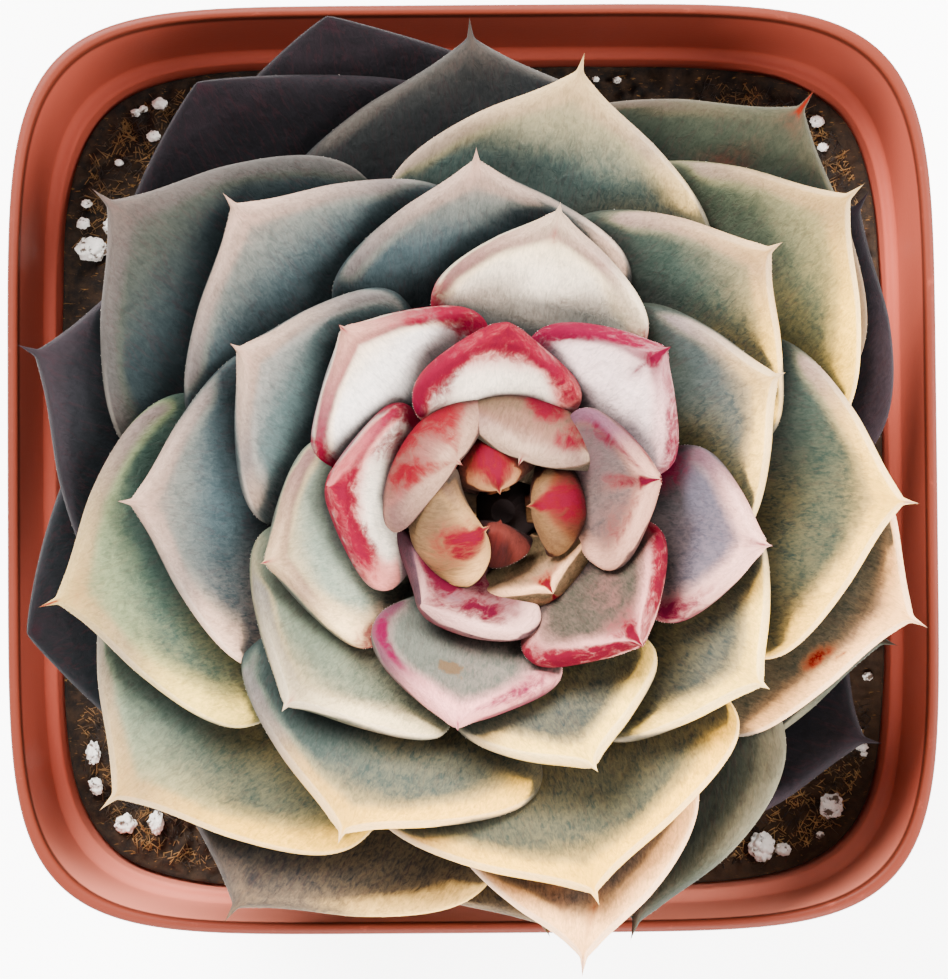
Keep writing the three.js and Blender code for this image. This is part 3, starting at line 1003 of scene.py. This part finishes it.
canopy = canopy_tree()
WAYS = sky_ways()


def clear_sky(point, outwards):
    turn = outwards.to_track_quat("Z", "Y")
    start = point + outwards * SKY_START
    clear = sum(way.z for way in WAYS if canopy.ray_cast(start, turn @ way, SKY_REACH)[0] is None)
    return clear / sum(way.z for way in WAYS)


def sky_grid(stations, rank):
    rows = []
    for ring in range(0, LEAF_RINGS + 1, SKY_STEP):
        station = stations[ring]
        row = []
        for index in range(0, LEAF_SIDES, SKY_STEP):
            turn = 2 * math.pi * index / LEAF_SIDES
            across = signed_power(math.sin(turn), ACROSS_POWER)
            through = signed_power(math.cos(turn), THROUGH_POWER)
            thick = station["over"] + station["under"]
            lean = 2 * station["cup"] * across
            outwards = station["side"] * (math.sin(turn) * thick - lean * max(0, through))
            outwards += station["face"] * math.cos(turn) * 2 * station["half"]
            point = section_point(station, rank, across, through)
            row.append(clear_sky(point, outwards.normalized()))
        rows.append(row)
    return rows


def sky_at(rows, ring, turn):
    """The sky share between the net's points"""
    low, side = int(ring // SKY_STEP), int(turn // SKY_STEP)
    high = min(low + 1, len(rows) - 1)
    count = len(rows[0])
    up, over = ring / SKY_STEP - low, turn / SKY_STEP - side
    first = mix(rows[low][side % count], rows[low][(side + 1) % count], over)
    second = mix(rows[high][side % count], rows[high][(side + 1) % count], over)
    return mix(first, second, up)


print("rays a point:", len(WAYS))

# %% [markdown]
# ## The leaves' colours
#
# Each leaf is dark at its foot, partly from painted shade, coloured in its middle and pale along
# its margin. The margin on the sunny side is painted light, cream and wide, and the margin on the
# other side is painted shade, greyer. Each skin is named for what it looks like. The outermost
# leaves are plum and slate, the middle ones green, and the inner ring pale.

# %% Skins
# A skin's colours: covered, which is partly painted shade, open, halfway to the margin, margin in
# painted shade, margin in painted light, blush
SKINS = {
    "heart": "#140606 #280e0c #34120e #3c180f #4c2420 #48040c",
    "bud_ember": "#241410 #482418 #5c2e20 #744430 #f0c090 #520a1a",
    "bud_dome": "#200e0a #44241c #54281c #44342a #6c5038 #520a1a",
    "bud_star": "#382e28 #5c4834 #685038 #4c3a30 #dcac78 #520a1a",
    "bud_peach": "#302826 #684840 #744e48 #5c4440 #f4c8a8 #560414",
    "bud_olive": "#322c24 #5c4c3c #6c5044 #644848 #f4d4b0 #520418",
    "bud_cone": "#403828 #74604a #806850 #644c40 #ecb890 #520410",
    "ring_grey": "#302828 #544846 #68504a #5c404c #c89884 #480418",
    "ring_crimson": "#302228 #604a54 #7c5c60 #502c34 #e4b4a8 #420418",
    "ring_rose": "#604c50 #fcecd8 #e8a498 #6c2c3c #dc8c80 #5a041c",
    "ring_dusk": "#242220 #38372e #54463c #683c44 #d49890 #520418",
    "ring_flush": "#504044 #fcf0dc #e8a498 #74343f #e8988c #5a041c",
    "ring_white": "#544c50 #f8dcd8 #e8c4c0 #784c54 #f0c0bc #560420",
    "ring_scarred": "#30332f #54574e #746860 #583c44 #f0a8a4 #540428",
    "ring_cream": "#484848 #fcf4ec #fce4c8 #6c3c44 #fcc4a8 #5a041c",
    "ring_mint": "#343834 #7c8878 #a89878 #644c48 #ffdca8 #680e2a",
    "ring_lilac": "#302e2e #54505a #706064 #5c444c #e4b0a4 #500420",
    "ring_blush": "#404848 #fcecd4 #ffe8c0 #745450 #ffe8c4 #740e26",
    "mint": "#343830 #5c6454 #887c60 #54504c #ffe4b0 #823c40",
    "green_cream": "#1c221e #343c3a #64645a #6a5c5c #ffd478 #743232",
    "slate_pink": "#12191b #344144 #5c5e58 #544e4c #f4c8ac #7e443c",
    "slate_mist": "#1a2224 #455453 #787670 #585250 #f8ccac #7e443c",
    "grey_peach": "#20261f #3c4544 #6c665c #6c6060 #ffd07c #643a36",
    "green_peach": "#1c2422 #384440 #5c6458 #5a5452 #ffc868 #642620",
    "rust_peach": "#242a24 #484c44 #80685c #6c5450 #ffc488 #620818",
    "sea_green": "#161e1b #2c3a33 #686652 #7c6860 #ffcc70 #68281c",
    "olive": "#1e221e #363e37 #646450 #6a5a50 #ffc864 #642620",
    "grey_olive": "#20261f #3e4a42 #66705c #565654 #ffc864 #642420",
    "deep_green": "#141e1a #34463e #6c7456 #5c504c #fcd87c #5e0404",
    "brown_cream": "#1c2422 #3c4c48 #847c60 #78685c #fcd48c #64403a",
    "peach": "#342c28 #705c50 #b48c68 #6c5854 #ffc48c #5a0a10",
    "deep_slate": "#0d1315 #1e2729 #32352f #383634 #64544c #56362e",
    "olive_cream": "#1c2018 #3c4638 #706c50 #6a5c54 #ffcc68 #64403a",
    "foot_green": "#141a16 #2c3228 #403c2e #403830 #6c5844 #5e0e06",
    "dusk_olive": "#121410 #242a26 #343830 #343432 #605c4c #40141c",
    "dusk_brown": "#141618 #262828 #3c3834 #3c3834 #705c54 #48322a",
    "dusk_plum": "#0f1113 #24262a #303036 #2a2a30 #ecc078 #2e141c",
    "plum": "#090c0e #121517 #18181b #1c1a1d #2c2428 #200a10",
    "dark_plum": "#070709 #0e0c0f #141114 #181518 #2a2226 #1c0a10",
}
ZONES = (("bud_leaf", 7), ("inner_leaf", 19), ("middle_leaf", 37), ("outer_leaf", 49))
print("skins:", len(SKINS))

# %% [markdown]
# ## Blush
#
# Strong light and cold nights turn parts of a leaf crimson. A mark is a soft patch: where it sits
# along and across the leaf, how far it spreads each way, and how strong it is. The finish breaks
# its outline up, as on a leaf that is painted wet in wet. A leaf that isn't listed has a red tip and
# no more. One leaf also has a brown scar.

# %% Marks on the leaves, by rank
MARKS = {
    1: [(0.8, 0, 0.25, 0.6, 0.3)],
    2: [(0.85, 0, 0.3, 0.8, 1.2)],
    3: [(0.8, 0, 0.28, 0.5, 1.3), (0.55, 0.3, 0.2, 0.4, 0.5)],
    4: [(1.0, 0, 0.12, 0.8, 1.4), (0.9, 0.1, 0.2, 0.5, 1.3), (0.7, 0.4, 0.2, 0.3, 0.6)],
    5: [
        (0.6, 0, 0.22, 0.45, 1.15), (0.8, -0.4, 0.2, 0.4, 1.0), (0.8, 0.5, 0.25, 0.3, 0.9),
        (0.6, 0, 0.5, 1.2, 0.4), (1.0, 0, 0.05, 0.9, 1.2),
    ],
    6: [
        (0.62, -0.1, 0.16, 0.3, 1.5), (0.75, -0.6, 0.14, 0.25, 1.1), (0.6, -0.2, 0.4, 0.9, 0.42),
        (1.0, 0, 0.05, 0.9, 1.2),
    ],
    7: [(1.0, 0, 0.28, 0.45, 1.8), (0.85, 0, 0.5, 1.2, 0.5)],
    8: [
        (1.0, 0, 0.18, 0.5, 1.6), (0.82, 0.05, 0.3, 0.16, 1.0), (0.75, 0.75, 0.25, 0.25, 0.8),
        (0.7, -0.6, 0.35, 0.5, 0.6), (0.4, 0.5, 0.3, 0.5, 0.5),
    ],
    9: [
        (0.68, -0.3, 0.3, 0.6, 1.3), (0.75, 0.5, 0.25, 0.45, 1.2), (0.9, 0.1, 0.12, 0.6, 0.7),
        (0.45, 0.1, 0.25, 0.7, 1.1),
    ],
    10: [
        (0.95, 0, 0.18, 2.0, 1.15), (0.7, 0.85, 0.3, 0.35, 1.05), (0.7, -0.9, 0.3, 0.3, 0.9),
        (0.45, 0, 0.05, 0.6, 0.5),
    ],
    11: [
        (1.0, 0, 0.2, 0.7, 1.8), (0.75, -0.98, 0.4, 0.2, 1.3), (0.7, 0.98, 0.35, 0.16, 1.1),
        (0.6, 0.1, 0.2, 0.3, 0.4),
    ],
    12: [
        (0.93, 0.2, 0.16, 1.2, 1.2), (0.8, 0.75, 0.2, 0.4, 1.1), (0.62, -0.6, 0.3, 0.35, 0.7),
        (0.45, -0.95, 0.3, 0.25, 1.1),
    ],
    13: [
        (1.0, 0, 0.13, 1.0, 1.8), (0.7, 0.95, 0.4, 0.2, 1.1), (0.66, -0.98, 0.3, 0.14, 1.0),
        (0.85, 0, 0.14, 0.15, 0.8),
    ],
    14: [(1.0, 0, 0.08, 0.9, 1.2), (0.75, 0.85, 0.2, 0.25, 0.9), (0.6, -0.9, 0.22, 0.1, 0.85)],
    15: [
        (1.0, 0, 0.06, 0.8, 1.1), (0.5, 0.97, 0.22, 0.16, 1.2), (0.55, -0.95, 0.25, 0.26, 1.2),
        (0.75, -0.9, 0.12, 0.2, 0.8),
    ],
    16: [(1.0, 0, 0.08, 0.9, 0.9), (0.5, 0.97, 0.15, 0.25, 1.2)],
    17: [(0.97, 0, 0.1, 0.8, 0.8), (0.45, 0.75, 0.15, 0.3, 0.9), (0.55, -0.9, 0.25, 0.25, 1.1)],
    18: [(1.0, 0, 0.05, 0.9, 0.4)],
    19: [
        (1.0, 0, 0.05, 0.9, 0.5), (0.45, -0.97, 0.16, 0.2, 1.3), (0.5, 0.97, 0.14, 0.15, 1.0),
        (0.88, 0, 0.08, 0.3, 0.5),
    ],
    20: [(0.97, 0, 0.07, 0.9, 0.5), (0.75, 0.96, 0.1, 0.1, 0.3)],
    30: [(1.0, 0, 0.05, 0.9, 1.2), (0.93, 0, 0.1, 1.2, 0.4)],
    31: [(1.0, 0, 0.05, 0.9, 1.5), (0.92, 0, 0.09, 1.5, 0.4)],
    33: [(1.0, 0, 0.07, 0.9, 0.9), (0.7, -0.4, 0.2, 0.3, 0.5), (0.85, 0.2, 0.1, 0.2, 0.6)],
    37: [
        (1.0, 0, 0.05, 0.9, 1.0), (0.76, -0.6, 0.04, 0.1, 1.3), (0.82, -0.75, 0.015, 0.04, 1.2),
        (0.93, 0, 0.1, 1.2, 0.35),
    ],
    39: [(1.0, 0, 0.08, 0.9, 1.2), (0.75, 0.2, 0.12, 0.25, 0.35), (0.62, 0.5, 0.1, 0.2, 0.3)],
}
PLAIN_TIP = [(1.0, 0, 0.05, 0.9, 0.6), (0.95, 0, 0.1, 1.5, 0.35)]
SCARS = {14: [(0.66, -0.15, 0.05, 0.2, 1.4), (0.7, 0.05, 0.03, 0.08, 1.1)]}


def blush_amount(marks, along, across):
    amount = 0.0
    for place, side, length, width, strength in marks:
        far = ((along - place) / length) ** 2 + ((across - side) / width) ** 2
        amount = max(amount, strength * math.exp(-far))
    return amount


print("leaves with marks of their own:", len(MARKS))

# %% [markdown]
# ## Painting a leaf
#
# The broad gradients are worked out once for every point of the mesh and kept as attributes, where
# the finish reads them. The margin's pale band is measured in millimetres from the leaf's edge. It
# is widest and creamiest on the sunny side, as painted light, and the tips of all but the lowest
# leaves are bleached.

# %% Painting
# The side that gets painted light, as seen from above, and how sharply a leaf's painted lit side ends
SUN_SIDE = Vector((0.64, -0.77))
SUN_SLOPE = 0.7
# The pale band: its reach, its flat part, its largest share of the leaf, its growth in the painted
# sunlight, and the painted warm light on the halfway colour of the lit side
MARGIN_BAND = 5.0
MARGIN_FLAT = 0.6
BAND_OF_HALF = 0.42
BAND_GROWTH = (0.55, 1.15)
WARM_BAND = 0.3
# The pale tip: its strength, where along the leaf it starts in shade and in sun, and its end
TIP_PALE = 0.85
BLOOM_FROM = (0.62, 0.73)
TIP_END = 0.98
TIPWARDS_FROM = 0.6
# The lowest leaves' dull tips, and where their pale band fades out
DULL_TIP = 0.3
DULL_RANK = 37
FADE_FROM = 0.72
FADE_LONG = 0.2
# The leaves with a painted highlight on the rim, and how much sky stands for the painted deep
# shade and for full light
HIGHLIGHT_RANKS = (17, 37)
INNER_SKY = (0.0, 0.35)
OUTER_SKY = (0.06, 0.6)
SHADED_RANK = 26


def blend(first, second, share):
    return [mix(one, other, share) for one, other in zip(first, second)]


def facing_sun(way):
    return smooth(0.5 + SUN_SLOPE * way.dot(SUN_SIDE))


def paint_leaf(piece, leaf, rank):
    colours = [linear(code) for code in SKINS[leaf["skin"]].split()]
    covered, body, halfway, in_shade, in_sun, blush = colours
    marks = MARKS.get(rank + 1, PLAIN_TIP)
    scars = SCARS.get(rank + 1, [])
    mesh = piece.data
    bearing = math.radians(leaf["bearing"])
    out_way = Vector((math.cos(bearing), math.sin(bearing)))
    side_way = Vector((-out_way.y, out_way.x))
    band = min(MARGIN_BAND, BAND_OF_HALF * leaf["width"] / 2)
    outer = smooth(rank / SHADED_RANK)
    dull = DULL_TIP if rank > DULL_RANK else 1
    bloom_from = mix(*BLOOM_FROM, facing_sun(out_way))
    dim, clear = (mix(INNER_SKY[k], OUTER_SKY[k], outer) for k in (0, 1))
    has_highlight = HIGHLIGHT_RANKS[0] <= rank < HIGHLIGHT_RANKS[1]
    told = ("from_edge", "along", "across", "sky")
    from_edge, along, across, sky = (mesh.attributes[name].data for name in told)
    bodies, halves, margins, pale, blushes, sunny, scarred = [], [], [], [], [], [], []
    for index in range(len(mesh.vertices)):
        down, side = along[index].value, across[index].value
        light = smooth((sky[index].value - dim) / clear)
        tipwards = smooth((down - TIPWARDS_FROM) / (1 - TIPWARDS_FROM))
        way = (side_way * side * (1 - tipwards) + out_way * (0.3 + tipwards)).normalized()
        lit = facing_sun(way)
        sun = max(lit, 0.6 * tipwards * dull)
        # Skin that a neighbour covers takes the covered colour: partly the deeper green it keeps,
        # partly painted shade
        bodies += blend(covered, body, light)
        # Painted light: on the lit side the halfway colour warms towards the sunny margin's colour
        halves += blend(covered, blend(halfway, in_sun, WARM_BAND * dull * lit * lit), light)
        # Painted light and shade: the margin is cream on the sunny side and greyer on the other
        margins += blend(in_shade, in_sun, sun * sun)
        reach = band * mix(*BAND_GROWTH, sun)
        edge = 1 - smooth((from_edge[index].value - MARGIN_FLAT) / reach)
        edge *= 1 - (1 - dull) * smooth((down - FADE_FROM) / FADE_LONG)
        tip = TIP_PALE * dull * smooth((down - bloom_from) / (TIP_END - bloom_from))
        # The pale margin and tip fade where a neighbour covers the skin: partly the leaf's own colour,
        # partly painted shade
        seen = mix(smooth((light - 0.1) / 0.8), smooth(light / 0.5), sun)
        pale.append(clamp(max(edge, 0.5 * edge + tip)) * seen)
        blushes.append(blush_amount(marks, down, side))
        scarred.append(blush_amount(scars, down, side))
        # Where the painted highlight on the rim goes
        sunny.append(lit * seen if has_highlight else 0.0)
    blushed = list(blush) * len(mesh.vertices)
    painted = {"body": bodies, "halfway": halves, "margin": margins, "blush": blushed}
    for name, values in painted.items():
        mesh.attributes.new(name, "FLOAT_COLOR", "POINT").data.foreach_set("color", values)
    amounts = {"pale": pale, "blush_amount": blushes, "sunny": sunny, "scarred": scarred}
    for name, values in amounts.items():
        mesh.attributes.new(name, "FLOAT", "POINT").data.foreach_set("value", values)


print("sunny side:", tuple(SUN_SIDE))

# %% [markdown]
# ## Velvet skin
#
# The skin is covered with very short hairs. Up close they look like felt: fine light and dark
# strokes that run along the leaf. The strokes and the faint veins come from stretched noise, and
# the painted shade, the pale margin, the painted highlight on the sunny rim and the blush from the
# painted attributes, with edges that the noise breaks up. A trace of sheen softens the leaf's outline.

# %% Leaf finish
VEIN_DARK = (0.03, 0.008, 0.01, 1.0)
FLECK_DARK = (0.006, 0.004, 0.006, 1.0)
BLACK = (0.0, 0.0, 0.0, 1.0)
RICH = 1.1
# From where each colour starts to where it is full
HALFWAY_SPAN = (0.02, 0.62)
MARGIN_SPAN = (0.45, 1.0)
TONE_SPAN = (-0.5, 0.4)
VEIN_SPAN = (0.03, 0.0)
WASH_SPAN = (0.1, 0.95)
STAIN_SPAN = (0.45, 1.35)
RIM_HIGHLIGHT_SPAN = (0.35, 0.08)
SCAR_SPAN = (0.6, 0.9)
FLECK_SPAN = (0.3, 0.2)
# How much of each colour is laid over the ones before it
DEEP_TONE = 0.36
LIGHT_TONE = 0.05
VEIN_AMOUNT = 0.16
WASH_AMOUNT = 0.8
WASH_PALE = 0.25
RIM_HIGHLIGHT_AMOUNT = 0.2
SCAR_AMOUNT = 0.8
FLECK_AMOUNT = 0.3


def leaf_finish(name):
    finish = Finish(name)
    place = finish.attribute("skin_place", "Vector")
    cloud = finish.noise(place, 0.13, 3.0, 0.55, 0.8)
    mottle = finish.noise(finish.stretch(place, (1.0, 0.75, 1.0)), 0.7, 5.0, 0.62, 0.9)
    felt = finish.noise(finish.stretch(place, (1.0, 0.32, 1.0)), 3.6, 4.0, 0.6, 0.8)
    soft, uneven, fine = (finish.minus(grain, 0.5) for grain in (cloud, mottle, felt))

    margin = finish.attribute("margin", "Color")
    pale = finish.plus(finish.attribute("pale"), finish.times(uneven, 0.2))
    pale = finish.plus(pale, finish.times(soft, 0.2))
    pale = finish.plus(pale, finish.times(fine, 0.1))
    body, halfway = finish.attribute("body", "Color"), finish.attribute("halfway", "Color")
    colour = finish.mix(finish.step(pale, *HALFWAY_SPAN), body, halfway)
    colour = finish.mix(finish.step(pale, *MARGIN_SPAN), colour, margin)

    tone = finish.plus(uneven, finish.times(fine, 1.5))
    deep, light = finish.mix(DEEP_TONE, colour, BLACK), finish.mix(LIGHT_TONE, colour, margin)
    colour = finish.mix(finish.step(tone, *TONE_SPAN), deep, light)
    vein = finish.noise(finish.stretch(place, (0.8, 0.14, 1.0)), 1.0, 3.0, 0.55, 0.5)
    vein = finish.math("ABSOLUTE", finish.minus(vein, 0.5))
    colour = finish.mix(finish.share(vein, VEIN_SPAN, VEIN_AMOUNT), colour, VEIN_DARK)

    streaks = finish.plus(finish.times(uneven, 2.0), finish.times(fine, 0.8))
    wet = finish.times(finish.attribute("blush_amount"), finish.plus(streaks, 1.0))
    blush = finish.attribute("blush", "Color")
    washed = finish.mix(WASH_PALE, blush, margin)
    colour = finish.mix(finish.share(wet, WASH_SPAN, WASH_AMOUNT), colour, washed)
    stain = finish.math("POWER", finish.step(wet, *STAIN_SPAN), 0.6)
    colour = finish.mix(stain, colour, blush)

    # A painted highlight: a thin cream line along the sunny margin of the middle leaves
    rim = finish.times(finish.step(finish.attribute("from_edge"), *RIM_HIGHLIGHT_SPAN), finish.attribute("sunny"))
    colour = finish.mix(finish.times(rim, RIM_HIGHLIGHT_AMOUNT), colour, linear("#fff0e0"))
    scar = finish.plus(finish.attribute("scarred"), finish.times(streaks, 0.7))
    colour = finish.mix(finish.share(scar, SCAR_SPAN, SCAR_AMOUNT), colour, linear("#54402c"))
    colour = finish.mix(finish.share(felt, FLECK_SPAN, FLECK_AMOUNT), colour, FLECK_DARK)
    rich = finish.node("ShaderNodeHueSaturation", {"Saturation": RICH, "Color": colour})
    finish.shade(
        Base_Color=rich.outputs["Color"],
        Roughness=0.75, Specular_IOR_Level=0.06,
        Sheen_Weight=0.01, Sheen_Roughness=0.5, Sheen_Tint=(1.0, 0.95, 0.9, 1.0),
        Normal=finish.bump(finish.plus(felt, finish.times(mottle, 2.0)), 0.5, 0.00014),
    )
    return finish.material


leaf_finishes = {name: leaf_finish(name.replace("leaf", "skin")) for name, _ in ZONES}
print("leaf finishes:", len(leaf_finishes))

# %% Leaves in place
def slot_of(rank):
    return next(name for name, last in ZONES if rank < last)


velvet = []
for rank, leaf in enumerate(LEAVES):
    node = f"leaf_{rank + 1:02d}"
    shape = leaf_shape(leaf, rank, leaf_stations(leaf, rank))
    slot = slot_of(rank)
    piece = finish_piece(f"velvet_{node}", shape, leaf_finishes[slot], [node])
    paint_leaf(piece, leaf, rank)
    velvet.append(piece)
print("leaf faces:", sum(len(piece.data.polygons) for piece in velvet))

# %% [markdown]
# ## Short hairs
#
# Velvet is a coat of hairs. The finest ones are the felt in the finish, and the longest ones stand
# free here: small three-sided spindles, most of them on the margins, where they show against the
# leaf below. Each takes a paler tone of the skin that it grows from.

# %% Hairs
HAIRS = {"bud_leaf": 900, "inner_leaf": 4200, "middle_leaf": 7000, "outer_leaf": 4500}
HAIR_SEED = 40
HAIR_LENGTH = (0.2, 0.5)
HAIR_RADIUS = 0.03
HAIR_LEAN = 0.6
HAIR_RAISED = 0.4
HAIR_SIDES = 3
HAIR_LIGHT = (0.8, 0.7, 0.6, 1.0)
HAIR_PALE = 0.25
# Which skin carries hairs: the share on the margin, the least sky, the margin's breadth, the end
MARGIN_HAIRS = 0.45
HAIR_SKY = 0.15
HAIR_EDGE = 0.5
HAIR_END = 0.93


def hair_seats(slot, draw):
    """Where hairs grow, which way they point, and their colours, for one group of leaves"""
    ranks = [rank for rank in range(len(LEAVES)) if slot_of(rank) == slot]
    told = ("from_edge", "along", "sky", "pale", "body", "margin")
    seats = []
    for rank in ranks:
        mesh = velvet[rank].data
        from_edge, along, sky, pale, body, margin = (mesh.attributes[name].data for name in told)
        open_skin = [
            vert.index for vert in mesh.vertices
            if vert.normal.z > 0 and sky[vert.index].value > HAIR_SKY
            and along[vert.index].value < HAIR_END
        ]
        edge_skin = [index for index in open_skin if from_edge[index].value < HAIR_EDGE]
        for _ in range(HAIRS[slot] // len(ranks) if open_skin else 0):
            at_margin = draw.random() < MARGIN_HAIRS and edge_skin
            index = draw.choice(edge_skin if at_margin else open_skin)
            vert = mesh.vertices[index]
            # The skin's colour here carries the painted shade and painted light of the leaf's
            # attributes
            skin = blend(body[index].color, margin[index].color, pale[index].value)
            colour = blend(skin, HAIR_LIGHT, HAIR_PALE)
            seats.append((vert.co.copy(), vert.normal.copy(), colour))
    return seats


def hair_finish():
    finish = Finish("velvet_hair")
    grain = finish.noise(finish.place(), 900.0, 2.0)
    tint = finish.attribute("hair_colour", "Color")
    colour = finish.mix(finish.times(grain, 0.3), tint, HAIR_LIGHT)
    finish.shade(Base_Color=colour, Roughness=0.7, Specular_IOR_Level=0.1)
    return finish.material


def hair_piece(slot, seed, material):
    seats = hair_seats(slot, random.Random(seed))
    upcoming = iter(seats)

    def lay_hair(shape, draw):
        foot, normal, _ = next(upcoming)
        lean = Vector((draw.uniform(-1, 1), draw.uniform(-1, 1), draw.uniform(-1, 1))) * HAIR_LEAN
        way = (normal + lean).normalized()
        length = draw.uniform(*HAIR_LENGTH)
        place = foot + way * length * MM * HAIR_RAISED
        lay_spindle(shape, place, way, length, HAIR_RADIUS, HAIR_SIDES)

    piece = finish_piece(f"hairs_of_{slot}", many(len(seats), lay_hair, seed), material)
    corners = range(2 * HAIR_SIDES)
    colours = [part for _, _, colour in seats for _ in corners for part in colour]
    hair_colour = piece.data.attributes.new("hair_colour", "FLOAT_COLOR", "POINT")
    hair_colour.data.foreach_set("color", colours)
    print(slot, "hairs:", len(seats))


velvet_hair = hair_finish()
for index, slot in enumerate(HAIRS):
    hair_piece(slot, HAIR_SEED + index, velvet_hair)

# %% [markdown]
# ## The stem
#
# The stem stays the plain solid that the frame gives, because the leaves hide it. It gets a corky
# brown finish, with painted shade at the top, where the bud's leaves close over it.

# %% Stem finish
# Heights in metres between the cork and the painted shade of the bud's dark heart
BUD_SHADE_SPAN = (0.090, 0.094)


def stem_finish():
    finish = Finish("corky_stem")
    place = finish.place()
    bark = finish.noise(finish.stretch(place, (1, 1, 0.4)), 420.0, 5.0, 0.65)
    cork = finish.mix(bark, linear("#4a3d2a"), linear("#8a7b55"))
    # Painted shade: the stem's top turns nearly black under the bud
    heart = finish.step(finish.axes(place)["Z"], *BUD_SHADE_SPAN)
    finish.shade(
        Base_Color=finish.mix(heart, cork, linear("#1c0806")),
        Roughness=0.85, Normal=finish.bump(bark, 0.5, 0.0004),
    )
    return finish.material


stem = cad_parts["stem"]
stem.data.materials.clear()
stem.data.materials.append(stem_finish())
print("stem finish set")
